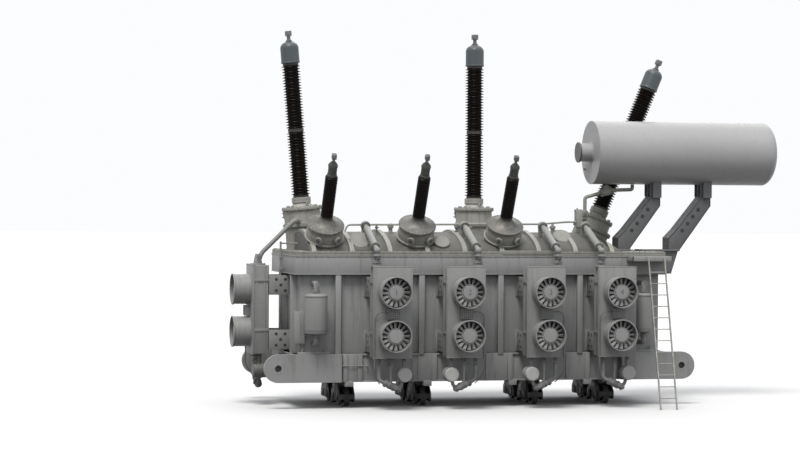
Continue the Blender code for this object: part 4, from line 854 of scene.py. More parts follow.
class TRANSFORMER_OT_cover(bpy.types.Operator):
    """Arched cover with ribs, flange bolts, hatches, turret collars and pipe stubs"""

    bl_idname = "transformer.cover"
    bl_label = "Cover"

    def execute(self, context):
        form = Form()
        x, y = TANK_LENGTH / 2 - 0.02, TANK_WIDTH / 2 - 0.02
        low = GIRDER_TOP + COVER_SEAM
        form.block((-x, -y, low), (x, y, low + 0.05), 0.006)
        form.block((-x, -y + 0.004, low + 0.056), (x, y - 0.004, FLANGE_TOP), 0.006)
        form.block((-x + 0.02, -y + 0.02, low + 0.03), (x - 0.02, y - 0.02, low + 0.07), 0.002)
        form.block((0.52, -y - 0.012, 4.05), (1.88, -y + 0.06, 4.16), 0.006)
        # The vault in a much darker copy of the cover's paint: dirt and painted shade between the ribs
        form.finish = 3
        self.vault(form, 0.0, VAULT_LEFT, VAULT_RIGHT)
        # Ribs in a lighter copy of the cover's paint: painted highlight on them
        form.finish = 2
        for i in range(COVER_RIBS):
            rib = COVER_RIB_FIRST + i * COVER_RIB_PITCH
            self.vault(form, COVER_RIB_DEPTH, rib - COVER_RIB_WIDTH / 2, rib + COVER_RIB_WIDTH / 2)
        form.finish = 0
        for hatch_x, hatch_y, radius, lean in HATCHES:
            matrix = shift(hatch_x, hatch_y, vault_height(hatch_y)) @ turn(lean, "X")
            form.drum(radius - 0.03, -0.2, 0.05, matrix, 32)
            form.flange(radius, 0.035, 0.06, matrix, 16, 0.011)
            form.flange(radius, 0.064, HATCH_HEIGHT, matrix, 16, 0.011)
        for place in HV_PLACES:
            self.hv_collar(form, place)
        for mv_x in MV_X:
            self.mv_collar(form, mv_x)
        self.stubs(form)
        self.gas_pipes(form)
        form.drum(0.13, -0.22, 0.03, shift(OIL_PIPE_X, CONSERVATOR_Y, FLANGE_TOP + VAULT_RISE), 28)
        form.finish = 1
        spots = [(place, side * (y - 0.045), FLANGE_TOP) for place in bolt_line(x) for side in (-1, 1)]
        spots += [(side * (x - 0.045), place, FLANGE_TOP) for place in bolt_line(y) for side in (-1, 1)]
        form.bolts(spots, 0.019, 0.022)
        form.make(
            "cover_detail", ["cover_finish", "bolt_finish", "rib_finish", "vault_finish", "valve_finish"],
            stands_for=["tank_cover"],
        )
        return {"FINISHED"}

    def vault(self, form, proud, left, right):
        """One stretch of the arch, with the right end sloped."""
        part = bmesh.new()
        outline = vault_outline(proud)
        loops = []
        for end in (left, right):
            loop = []
            for u, v in outline:
                reach = VAULT_RIGHT - VAULT_SLOPE * max(0.0, v - FLANGE_TOP) / VAULT_RISE
                loop.append(part.verts.new((min(end, reach), u, v)))
            loops.append(loop)
        part.faces.new(loops[0][::-1])
        part.faces.new(loops[1])
        for i in range(len(outline)):
            part.faces.new((loops[0][i - 1], loops[0][i], loops[1][i], loops[1][i - 1]))
        bmesh.ops.recalc_face_normals(part, faces=part.faces)
        form.take(part)

    def hv_collar(self, form, place):
        """Round collar on the cover that a tall bushing's turret stands on."""
        top = place[2]
        axis = hv_axis(place)
        profile = [
            (0, 0), (0.5, 0), (0.5, top - 0.08), (0.546, top - 0.08), (0.55, top - 0.076),
            (0.55, top - 0.004), (0.546, top), (0, top),
        ]
        form.lathe(profile, axis, 64)
        form.finish = 1
        form.bolt_ring(TURRET_BOLT_CIRCLE, 28, 0, 0.016, axis @ shift(z=top - 0.08) @ turn(180, "X"), 0.016)
        form.finish = 0

    def mv_collar(self, form, x):
        """Round foot of a short bushing's turret, tapered down into the arch."""
        profile = [
            (0, -0.45), (0.36, -0.45), (0.42, -0.12), (0.45, -0.08), (0.475, -0.05), (0.485, 0.0),
            (0.485, 0.10), (0.52, 0.102), (0.525, 0.108), (0.525, 0.13), (0.52, 0.136), (0.485, 0.138),
            (0.485, MV_COLLAR), (0, MV_COLLAR),
        ]
        form.lathe(profile, mv_axis(x), 64)

    def stubs(self, form):
        """Bent pipe ends on the cover that the coolers' oil pipes join."""
        elbow, end = riser_points()
        run = (end - elbow).normalized()
        corner = end + run * RISER_STUB_RUN
        for x, hand in zip(COOLER_X, COOLER_HANDS):
            matrix = shift(x=x - hand * RISER_OFFSET)
            form.tube([end, corner, corner - UP * 0.4], 0.065, 0.12, 20, matrix)
            form.flange(0.13, 0, 0.04, matrix @ aimed(end, run), 8, 0.012)

    def gas_pipes(self, form):
        """Thin collecting pipe along the roof, its branches and valves, and a small vessel."""
        form.finish = 2
        form.tube(GAS_PIPE, 0.026, 0.10, 10)
        for x, y in GAS_VALVES:
            form.tube([(x, y, 4.50), (x, y, 4.85)], 0.022, 0, 10)
            form.finish = 4
            form.drum(0.045, 4.72, 4.78, shift(x, y), 16, 0.012)
            form.drum(0.05, 4.66, 4.675, shift(x, y), 16)
            form.bar(x, 0.05, (y - 0.10, 4.745), (y - 0.085, 4.76), 0.003)
            form.finish = 2
        for x in ROOF_VENT_X:
            vent = shift(x, ROOF_VENT_Y)
            form.drum(0.055, 4.45, 4.74, vent, 20)
            form.flange(0.085, 4.74, 4.77, vent, 8, 0.010)
            form.flange(0.085, 4.775, 4.80, vent, 8, 0.010)
            form.drum(0.035, 4.80, 4.86, vent, 16)
        vessel = shift(*ROOF_VESSEL)
        form.finish = 0
        form.tube([(*ROOF_VESSEL, 4.30), (*ROOF_VESSEL, 5.30)], 0.022, 0, 10)
        form.drum(0.075, 4.90, 5.22, vessel, 24, 0.012)
        form.finish = 4
        form.drum(0.082, 4.83, 4.90, vessel, 24, 0.012)
        form.drum(0.082, 5.20, 5.26, vessel, 24, 0.012)
        form.block((3.03, -0.36, 4.40), (3.15, -0.24, 4.79), 0.006)
        form.finish = 2
        form.block((3.01, -0.38, 4.78), (3.17, -0.22, 5.27), 0.010)
        form.finish = 0


def riser_points():
    y = -TANK_WIDTH / 2 - COOLER_STANDOFF - COOLER_DEPTH * 0.5
    return Vector((0, y, RISER_ELBOW_Z)), Vector((0, *RISER_END))


def end_riser_points():
    """Top of the left end cooler, the two corners of its pipe, and its joint with the first turret's stub."""
    x = -TANK_LENGTH / 2 - COOLER_STANDOFF - COOLER_DEPTH * 0.5
    corner_x, corner_z = END_RISER_CORNER
    corner = Vector((corner_x, 0, corner_z))
    axis = hv_axis(HV_PLACES[0])
    middle = axis @ Vector((0, 0, (corner_z - GIRDER_TOP) / axis[2][2]))
    aim = Vector((middle.x - corner.x, middle.y - corner.y, 0)).normalized()
    low_x, low_z = END_RISER_FOOT
    return Vector((x, 0, COOLER_TOP - 0.02)), Vector((low_x, 0, low_z)), corner, corner + aim * END_RISER_RUN


class TRANSFORMER_OT_bogies(bpy.types.Operator):
    """Bogies under the tank, each with two flanged wheels between side plates"""

    bl_idname = "transformer.bogies"
    bl_label = "Bogies"

    def execute(self, context):
        for i, x in enumerate(BOGIE_X, 1):
            for row, y in (("front", -BOGIE_Y), ("back", BOGIE_Y)):
                self.bogie(i, row, shift(x, y))
        return {"FINISHED"}

    def bogie(self, number, row, place):
        """One bogie: top plate, two side plates, end plates, axles and wheels."""
        form = Form(place)
        half = 0.23
        top = TANK_BOTTOM - COVER_SEAM
        form.block((-half + 0.01, -0.36, top - 0.05), (half - 0.01, 0.36, top), 0.008)
        form.block((-half + 0.04, -0.30, top - 0.16), (half - 0.04, 0.30, top - 0.04), 0.015)
        plate = [
            (-0.55, 0.17), (-0.50, 0.13), (0.50, 0.13), (0.55, 0.17), (0.55, 0.33), (0.33, 0.60),
            (-0.33, 0.60), (-0.55, 0.33),
        ]
        for side in (-1, 1):
            span = span_at(side, half - 0.02, half - 0.06)
            form.slab(plate, span[0], span[1], "X", 0.006)
            for y in (-0.29, 0.29):
                hub = shift(side * (half - 0.03), y, WHEEL_RADIUS) @ turn(side * 90, "Y")
                form.drum(0.10, 0, 0.03, hub, 24)
                form.bolt_ring(0.075, 6, 0.028, 0.010, hub, 0.002)
            for y in (-0.50, 0.50):
                form.drum(0.05, -0.03, 0.02, shift(side * 0.12, y, 0.30) @ FRONT, 16)
        for y in (-0.535, 0.535):
            form.block((-half + 0.03, y - 0.012, 0.20), (half - 0.03, y + 0.012, 0.34), 0.004)
        form.drum(0.14, 0, 0.10, shift(z=top - 0.26), 24)
        for y in (-0.29, 0.29):
            axle = shift(0, y, WHEEL_RADIUS) @ turn(90, "Y")
            form.drum(0.06, -half + 0.03, half - 0.03, axle, 16)
            form.finish = 1
            form.lathe(wheel_profile(), axle, 48)
            form.finish = 0
        form.stand_for(f"bogie_{number}_{row}", ["bogie_finish", "wheel_finish"])


def wheel_profile():
    """Flanged wheel with a thick rim, thin web and hub."""
    rim, tread = WHEEL_RADIUS, 0.075
    return [
        (0, -0.10), (0.09, -0.10), (0.09, -0.02), (rim - 0.07, -0.02), (rim - 0.06, -tread),
        (rim - 0.004, -tread), (rim, -tread + 0.004), (rim, tread - 0.004), (rim - 0.004, tread),
        (rim - 0.06, tread), (rim - 0.07, 0.02), (0.09, 0.02), (0.09, 0.10), (0, 0.10),
    ]


class TRANSFORMER_OT_tall_bushings(bpy.types.Operator):
    """High-voltage turrets, two-part porcelain and painted head caps"""

    bl_idname = "transformer.tall_bushings"
    bl_label = "Tall Bushings"

    def execute(self, context):
        sizes = context.scene.transformer_sizes
        for i, place in enumerate(HV_PLACES, 1):
            self.turret(i, place)
            self.porcelain(i, place, sizes.tall_sheds)
            self.head(i, place)
        return {"FINISHED"}

    def turret(self, number, place):
        """Turret with its shoulder, neck, lugs, gauge, valve and flange bolts."""
        _, _, low, high = place
        low += COVER_SEAM
        shoulder = high - 0.275
        girth = THIRD_TURRET_GIRTH if number == 3 else 1.0
        form = Form(hv_axis(place))
        profile = [
            (0, low), (0.508, low), (0.512, low + 0.004), (0.512, low + 0.03), (0.508, low + 0.034),
            (0.5, low + 0.036), (0.5, shoulder - 0.06), (0.546, shoulder - 0.06), (0.55, shoulder - 0.056),
            (0.55, shoulder - 0.036), (0.544, shoulder - 0.034), (0.55, shoulder - 0.032),
            (0.55, shoulder - 0.004), (0.546, shoulder), (0, shoulder),
        ]
        form.lathe([(radius * girth, z) for radius, z in profile], None, 64)
        neck = [
            (0, shoulder - 0.01), (0.36, shoulder - 0.01), (0.36, shoulder + 0.018), (0.30, shoulder + 0.024),
            (0.262, shoulder + 0.07), (0.236, shoulder + 0.11), (0.236, high - 0.145), (0.257, high - 0.14),
            (0.26, high - 0.136), (0.26, high - 0.078), (0.252, high - 0.075), (0.252, high - 0.068),
            (0.26, high - 0.065), (0.26, high - 0.004), (0.256, high), (0, high),
        ]
        form.lathe(neck, None, 56)
        for i in range(4):
            lug = turn(45 + i * 90, "Z")
            form.block(
                (0.40 * girth, -0.02, shoulder - 0.003), (0.50 * girth, 0.02, shoulder + 0.06), 0.005, lug,
            )
        gauge = turn(20, "Z") @ shift(z=shoulder + 0.10) @ FRONT
        form.drum(0.03, 0.20, 0.31, gauge, 20)
        form.ring(0.028, 0.05, 0.31, 0.33, gauge, 24)
        valve = turn(-112, "Z") @ shift(0, -0.50, shoulder - 0.14)
        form.drum(0.035, -0.14, 0.08, valve, 16)
        form.drum(0.055, -0.02, 0.03, valve, 16)
        form.block((-0.02, -0.07, -0.11), (0.02, 0.06, -0.08), 0.004, valve)
        if number == 1:
            _, _, corner, end = end_riser_points()
            run = (end - corner).normalized()
            back = hv_axis(place).inverted()
            form.drum(0.055, 0, 0.40, back @ aimed(end, run), 24)
            form.flange(0.085, 0, 0.02, back @ aimed(end, run), 6, 0.009)
        form.finish = 1
        circle = TURRET_BOLT_CIRCLE * girth
        form.bolt_ring(circle, 28, 0, 0.016, shift(z=shoulder - 0.06) @ turn(180, "X"), 0.020)
        form.bolt_ring(circle, 28, shoulder, 0.014, None, 0.024)
        form.bolt_ring(0.33, 20, shoulder + 0.018, 0.012, None, 0.014)
        form.bolt_ring(0.248, 20, 0, 0.011, shift(z=high - 0.14) @ turn(180, "X"), 0.014)
        form.stand_for(f"hv_turret_{number}", ["turret_finish", "bolt_finish"])

    def porcelain(self, number, place, count):
        """Two stacks of sheds with a band below, between and above them."""
        form = Form(hv_axis(place) @ shift(z=place[3] + COVER_SEAM))
        joint = HV_PORCELAIN / 2
        form.drum(0.19, 0.01, HV_PORCELAIN - 0.01, None, 48)
        for low, high in ((0.05, joint - 0.045), (joint + 0.045, HV_PORCELAIN - 0.05)):
            form.lathe(shed_profile(0.185, 0.256, 0.26, low, high, count // 2), None, 56)
        form.finish = 1
        for low, high in ((0.0, 0.06), (joint - 0.05, joint + 0.05), (HV_PORCELAIN - 0.06, HV_PORCELAIN)):
            form.drum(0.215, low, high, None, 48, 0.008)
        form.stand_for(f"hv_bushing_{number}", ["porcelain_finish", "band_finish"])

    def head(self, number, place):
        """Rounded head cap with its bolts and the line clamp's block."""
        form = Form(hv_axis(place) @ shift(z=place[3] + HV_PORCELAIN + 2 * COVER_SEAM))
        top = HV_CAP_HEIGHT
        profile = [
            (0, 0), (0.25, 0), (0.258, 0.006), (0.26, 0.03), (0.252, 0.045), (0.25, 0.06), (0.25, top * 0.70),
            (0.243, top * 0.76), (0.222, top * 0.83), (0.185, top * 0.90), (0.13, top * 0.955),
            (0.10, top * 0.97), (0.10, top), (0, top),
        ]
        form.lathe(profile, None, 64)
        form.finish = 1
        form.bolt_ring(0.232, 20, 0, 0.012, shift(z=0.045), 0.02)
        form.finish = 2
        form.drum(0.05, top - 0.01, top + 0.16, None, 24)
        form.drum(0.075, top, top + 0.035, None, 24)
        form.block((-0.08, -0.08, top + 0.14), (0.08, 0.08, top + 0.28), 0.012)
        form.bolts([(x, y, top + 0.28) for x in (-0.045, 0.045) for y in (-0.045, 0.045)], 0.014, 0.0)
        for side in (-1, 1):
            form.drum(0.016, 0, 0.012, shift(side * 0.08, 0, top + 0.21) @ turn(side * 90, "Y"), 12)
        form.stand_for(f"hv_cap_{number}", ["head_finish", "bolt_finish", "clamp_finish"])


def shed_profile(core, small, large, low, high, count):
    """Porcelain with alternate small and large sheds, round-lipped, between two heights."""
    pitch = (high - low) / count
    profile = [(0, low - 0.005), (core, low - 0.005), (core, low)]
    for i in range(count):
        z = low + i * pitch
        reach = large if i % 2 == 0 else small
        profile += [
            (core, z + pitch * 0.10), (core + 0.012, z + pitch * 0.22), (reach - 0.006, z + pitch * 0.34),
            (reach, z + pitch * 0.42), (reach - 0.005, z + pitch * 0.52), (core + 0.016, z + pitch * 0.80),
            (core, z + pitch * 0.95),
        ]
    profile += [(core, high), (core, high + 0.005), (0, high + 0.005)]
    return profile


class TRANSFORMER_OT_short_bushings(bpy.types.Operator):
    """Medium-voltage turrets with their dishes, nozzles, porcelain and head caps"""

    bl_idname = "transformer.short_bushings"
    bl_label = "Short Bushings"

    def execute(self, context):
        sizes = context.scene.transformer_sizes
        for i, x in enumerate(MV_X, 1):
            self.turret(i, x)
            self.bushing(i, x, sizes.short_sheds)
        return {"FINISHED"}

    def turret(self, number, x):
        """Pot-shaped drum under a wide dish, with two capped oil nozzles in front."""
        low = MV_COLLAR + COVER_SEAM
        shoulder = low + MV_BODY
        top = shoulder + MV_DISH
        form = Form(mv_axis(x))
        form.finish = 2
        form.lathe([
            (0, low), (0.485, low), (0.485, low + 0.09), (0.478, low + 0.12), (0.455, low + 0.17),
            (0.44, low + 0.20), (0.42, shoulder - 0.01), (0.42, shoulder), (0, shoulder),
        ], None, 64)
        form.finish = 0
        form.lathe([
            (0, shoulder - 0.002), (0.485, shoulder - 0.002), (0.497, shoulder + 0.002),
            (0.50, shoulder + 0.010), (0.50, shoulder + 0.032), (0.495, shoulder + 0.040),
            (0.44, shoulder + 0.052), (0.33, shoulder + 0.085), (0.25, shoulder + 0.125),
            (0.205, shoulder + 0.165), (0.18, shoulder + 0.205), (0.17, top - 0.02), (0.17, top), (0, top),
        ], None, 64)
        for angle in (-27.0, 30.0):
            nozzle = turn(angle, "Z") @ shift(z=low + 0.09) @ FRONT
            form.finish = 2
            form.drum(0.078, 0.3, 0.54, nozzle, 28)
            form.drum(0.103, 0.530, 0.556, nozzle, 28)
            form.drum(0.103, 0.560, 0.583, nozzle, 28)
            form.finish = 3
            form.drum(0.055, 0.57, 0.5845, nozzle, 24)
            form.finish = 1
            form.bolt_ring(0.080, 6, 0.581, 0.010, nozzle, 0.004)
        form.bolt_ring(0.475, 28, 0, 0.012, shift(z=shoulder) @ turn(180, "X"), 0.012)
        form.bolt_ring(0.475, 28, shoulder + 0.043, 0.012, None, 0.012)
        form.stand_for(
            f"mv_turret_{number}", ["zinc_finish", "bolt_finish", "cover_finish", "duct_finish"],
        )

    def bushing(self, number, x, count):
        """Porcelain, head cap and clamp block of one short bushing."""
        form = Form(mv_axis(x) @ shift(z=MV_COLLAR + MV_BODY + MV_DISH + 2 * COVER_SEAM))
        form.lathe(shed_profile(0.143, 0.166, 0.168, 0.04, MV_PORCELAIN - 0.03, count), None, 56)
        top = MV_PORCELAIN + MV_CAP_HEIGHT
        form.finish = 1
        form.drum(0.158, 0, 0.05, None, 40)
        form.lathe([
            (0, MV_PORCELAIN - 0.03), (0.128, MV_PORCELAIN - 0.03), (0.13, MV_PORCELAIN - 0.026),
            (0.13, MV_PORCELAIN + 0.04), (0.118, MV_PORCELAIN + 0.05), (0.118, top - 0.16),
            (0.128, top - 0.15), (0.128, top - 0.11), (0.10, top - 0.06), (0.06, top - 0.02), (0.055, top),
            (0, top),
        ], None, 48)
        form.finish = 2
        form.drum(0.035, top - 0.01, top + 0.10, None, 20)
        form.block((-0.06, -0.06, top + 0.08), (0.06, 0.06, top + 0.22), 0.010)
        for side in (-1, 1):
            form.drum(0.014, 0, 0.012, shift(side * 0.06, 0, top + 0.15) @ turn(side * 90, "Y"), 12)
        form.stand_for(
            f"mv_bushing_{number}", ["porcelain_finish", "short_head_finish", "clamp_finish"],
        )


def cooler_spots():
    """Place and hand of each cooler: four along the front, and one on the left end."""
    spots = [(shift(x, -TANK_WIDTH / 2), hand) for x, hand in zip(COOLER_X, COOLER_HANDS)]
    spots.append((shift(-TANK_LENGTH / 2) @ turn(-90, "Z"), 1))
    return spots


class TRANSFORMER_OT_coolers(bpy.types.Operator):
    """Cooler casings with fan barrels, motors, vents, hoses and wall brackets"""

    bl_idname = "transformer.coolers"
    bl_label = "Coolers"

    def execute(self, context):
        for i, (place, hand) in enumerate(cooler_spots(), 1):
            self.casing(i, place, hand)
        return {"FINISHED"}

    def casing(self, number, place, hand):
        """One cooler's box with its frame, fan barrels, bolts, brackets and lead."""
        form = Form(place)
        back = -COOLER_STANDOFF
        front = back - COOLER_DEPTH
        half = COOLER_WIDTH / 2
        inside = half - 0.025
        low, high = COOLER_BOTTOM, COOLER_TOP
        form.block((-inside, front + 0.01, low + 0.02), (inside, back, high - 0.02), 0.010)
        form.block((-inside + 0.004, front, low + 0.03), (inside - 0.004, front + 0.03, high - 0.03), 0.006)
        for z in (low, high - 0.03):
            form.block((-half, front, z), (half, front + 0.06, z + 0.03), 0.006)
        for side in (-1, 1):
            span = span_at(side, half, half - 0.03)
            form.block((span[0], front + 0.002, low + 0.01), (span[1], front + 0.058, high - 0.01), 0.005)
            back_span = span_at(side, inside + 0.012, inside - 0.02)
            form.block(
                (back_span[0], back - 0.05, low + 0.03), (back_span[1], back - 0.002, high - 0.03), 0.004,
            )
            for y in (front + 0.10, back - 0.13):
                form.bar(side * inside, 0.012, (y, low + 0.03), (y + 0.03, high - 0.03), 0.004)
            for z in (3.30, 1.98):
                form.bar(side * inside, 0.022, (front + 0.06, z), (back, z + 0.07), 0.004)
        self.vent(form, front)
        for z in FAN_Z:
            self.barrel(form, front, z)
        self.brackets(form, back, inside)
        form.finish = 1
        for side in (-1, 1):
            for i in range(12):
                z = low + 0.12 + i * (high - low - 0.24) / 11
                form.bolts([(0, 0, 0)], 0.009, 0.008, shift(side * (half - 0.018), front + 0.002, z) @ FRONT)
        form.finish = 2
        self.hose(form, front, -hand)
        form.stand_for(
            f"cooler_casing_{number}",
            ["cooler_finish", "bolt_finish", "lead_finish", "duct_finish", "hose_finish"],
        )

    def barrel(self, form, front, z):
        """Open fan barrel with its lip, beads, motor, cooling fins and three arms."""
        inner = BARREL_RADIUS - 0.012
        lip = BARREL_RADIUS + 0.018
        end = BARREL_LENGTH
        matrix = shift(y=front, z=z) @ FRONT
        outside = [
            (inner, end), (inner, -0.02), (BARREL_RADIUS + 0.03, -0.02), (BARREL_RADIUS + 0.03, 0.012),
            (BARREL_RADIUS, 0.014), (BARREL_RADIUS, end - 0.045), (lip - 0.006, end - 0.04),
            (lip, end - 0.034), (lip, end - 0.006), (lip - 0.006, end),
        ]
        form.lathe(outside, matrix, 72, ring=True)
        for i in range(1, 3):
            at = end * i / 3
            low, high = BARREL_RADIUS - 0.002, BARREL_RADIUS + 0.006
            form.lathe([(low, at), (high, at + 0.003), (low, at + 0.006)], matrix, 64, ring=True)
        # Dark disc across the barrel's back: painted shade of its deep inside
        form.finish = 3
        form.drum(inner + 0.004, -0.01, 0.006, matrix, 48)
        form.finish = 0
        form.drum(0.125, 0.0, MOTOR_LENGTH - 0.02, matrix, 32)
        form.drum(0.14, MOTOR_LENGTH - 0.05, MOTOR_LENGTH, matrix, 32, 0.008)
        form.drum(0.03, MOTOR_LENGTH - 0.01, MOTOR_LENGTH + 0.07, matrix, 16)
        for i in range(18):
            fin = matrix @ turn(i * 20, "Z")
            form.block((0.12, -0.003, 0.03), (0.14, 0.003, MOTOR_LENGTH - 0.06), 0, fin)
        for i in range(3):
            arm = matrix @ turn(90 + i * 120, "Z")
            form.block((0.11, -0.012, 0.12), (inner + 0.004, 0.012, 0.16), 0.004, arm)

    def vent(self, form, front):
        """Terminal box between the fans, with a grid of small dark squares on its cover: painted shade of its
        square holes.
        """
        middle = (FAN_Z[0] + FAN_Z[1]) / 2
        face = front - 0.14
        form.block((-0.16, face, middle - 0.135), (0.16, front + 0.01, middle + 0.125), 0.004)
        form.block((-0.17, face - 0.004, middle + 0.115), (0.17, front + 0.01, middle + 0.135), 0.004)
        # Dark squares proud of the cover: painted shade that stands for the holes
        form.finish = 3
        for column in range(6):
            for row in range(5):
                x = -0.135 + column * 0.054
                z = middle - 0.100 + row * 0.048
                form.bar(x, 0.017, (face - 0.002, z - 0.016), (face + 0.004, z + 0.016), 0)
        form.finish = 0

    def brackets(self, form, back, inside):
        """Wall brackets at two heights, each with five black discs through its plate: painted shade of its
        five holes.
        """
        wall = WALL_RECESS - COVER_SEAM
        for low in BRACKET_LOW:
            for side in (-1, 1):
                span = span_at(side, inside + 0.012, inside - 0.018)
                form.block((span[0], back - 0.03, low), (span[1], wall, low + 0.52), 0.004)
                form.block(
                    (span[0] - 0.04, wall - 0.022, low - 0.02), (span[1] + 0.04, wall, low + 0.54), 0.004,
                )
                # Black discs through the plate: painted shade that stands for the holes
                form.finish = 4
                middle_y, middle_z = (back + wall) / 2, low + 0.26
                for y, z in ((0, 0), (-1, -1), (-1, 1), (1, -1), (1, 1)):
                    hole = shift(side * (inside - 0.003), middle_y + y * 0.12, middle_z + z * 0.15)
                    form.drum(0.042, -0.0165, 0.0165, hole @ turn(90, "Y"), 16, 0.0)
                form.finish = 0

    def hose(self, form, front, side):
        """A flexible lead from the terminal box, over to the casing's edge and down to the pump."""
        middle = (FAN_Z[0] + FAN_Z[1]) / 2
        points = [
            (side * 0.155, front - 0.08, middle + 0.04), (side * 0.27, front - 0.10, middle + 0.07),
            (side * 0.42, front - 0.08, middle + 0.03), (side * 0.485, front - 0.04, middle - 0.10),
            (side * 0.49, front - 0.02, middle - 0.40), (side * 0.49, front - 0.02, COOLER_BOTTOM - 0.30),
            (side * 0.44, front + 0.10, 0.86), (side * 0.30, front + 0.20, 0.70),
        ]
        form.tube(points, 0.014, 0.09, 8)
        for z in (2.10, 1.80, 1.50):
            form.bar(side * 0.49, 0.02, (front - 0.036, z), (front + 0.004, z + 0.02), 0.002)


class TRANSFORMER_OT_fans(bpy.types.Operator):
    """Fan rotors with stepped hubs, pitched blades and a number on the upper hub of each front cooler"""

    bl_idname = "transformer.fans"
    bl_label = "Fans"

    def execute(self, context):
        blades = context.scene.transformer_sizes.fan_blades
        front = -(COOLER_STANDOFF + COOLER_DEPTH + MOTOR_LENGTH + COVER_SEAM)
        for i, (place, _) in enumerate(cooler_spots(), 1):
            for level, z in zip(("upper", "lower"), FAN_Z):
                name = f"fan_{i}_{level}"
                matrix = place @ shift(y=front, z=z) @ FRONT
                self.rotor(name, matrix, blades)
                if level == "upper" and i < 5:
                    self.number(name, matrix, str(i))
        return {"FINISHED"}

    def rotor(self, name, matrix, blades):
        """Hub, blades and hub bolts of one fan, riding on its own body."""
        form = Form(matrix)
        profile = [
            (0, 0.071), (0.034, 0.071), (0.034, 0.0), (0.215, 0.0), (0.22, 0.005), (0.22, 0.082),
            (0.214, 0.09), (0.20, 0.09), (0.194, 0.082), (0.186, 0.084), (0.182, 0.095), (0.179, 0.114),
            (0.172, 0.12), (0.12, 0.1235), (0, 0.125),
        ]
        form.lathe(profile, None, 64)
        for i in range(blades):
            self.blade(form, turn(360 * i / blades, "Z"))
        form.finish = 1
        form.bolt_ring(0.150, 6, 0.121, 0.007, None, 0.006)
        form.make(
            f"{name}_rotor", ["fan_finish", "bolt_finish"], body=name, stands_for=[name],
        )

    def blade(self, form, matrix):
        """One cambered blade, twisted from root to tip."""
        part = bmesh.new()
        rings = []
        stations = 6
        for i in range(stations):
            share = i / (stations - 1)
            radius = BLADE_ROOT + (BLADE_TIP - BLADE_ROOT) * share
            pitch = math.radians(42 - 14 * share)
            chord = 0.082 + 0.026 * share
            ring = []
            for j in range(9):
                s = j / 8 - 0.5
                camber = 0.010 * (1 - 4 * s * s)
                ring.append((s * chord, camber + 0.0035 * (1 - abs(2 * s)) ** 0.5))
            for j in range(7, 0, -1):
                s = j / 8 - 0.5
                camber = 0.010 * (1 - 4 * s * s)
                ring.append((s * chord, camber - 0.0035 * (1 - abs(2 * s)) ** 0.5))
            verts = []
            for along, lift in ring:
                y = along * math.cos(pitch) - lift * math.sin(pitch)
                z = along * math.sin(pitch) + lift * math.cos(pitch)
                verts.append(part.verts.new((math.sqrt(max(radius * radius - y * y, 0.0)), y, z + 0.045)))
            rings.append(verts)
        for near, far in zip(rings, rings[1:]):
            for i in range(len(near)):
                part.faces.new((near[i - 1], near[i], far[i], far[i - 1]))
        part.faces.new(rings[0][::-1])
        part.faces.new(rings[-1])
        bmesh.ops.recalc_face_normals(part, faces=part.faces)
        form.take(part, matrix)

    def number(self, name, matrix, text):
        """The cooler's number, painted on the hub."""
        curve = bpy.data.curves.new(f"{name}_number", "FONT")
        curve.body = text
        curve.size = NUMBER_HEIGHT
        curve.align_x = "CENTER"
        curve.align_y = "CENTER"
        curve.extrude = 0.0004
        shown = bpy.data.objects.new(f"{name}_number_curve", curve)
        bpy.context.scene.collection.objects.link(shown)
        bpy.context.view_layer.update()
        graph = bpy.context.evaluated_depsgraph_get()
        mesh = bpy.data.meshes.new_from_object(shown.evaluated_get(graph))
        bpy.data.objects.remove(shown)
        part = bmesh.new()
        part.from_mesh(mesh)
        bpy.data.meshes.remove(mesh)
        form = Form(matrix)
        form.take(part, shift(z=HUB_FACE))
        form.make(f"{name}_number", ["duct_finish"], body=name)


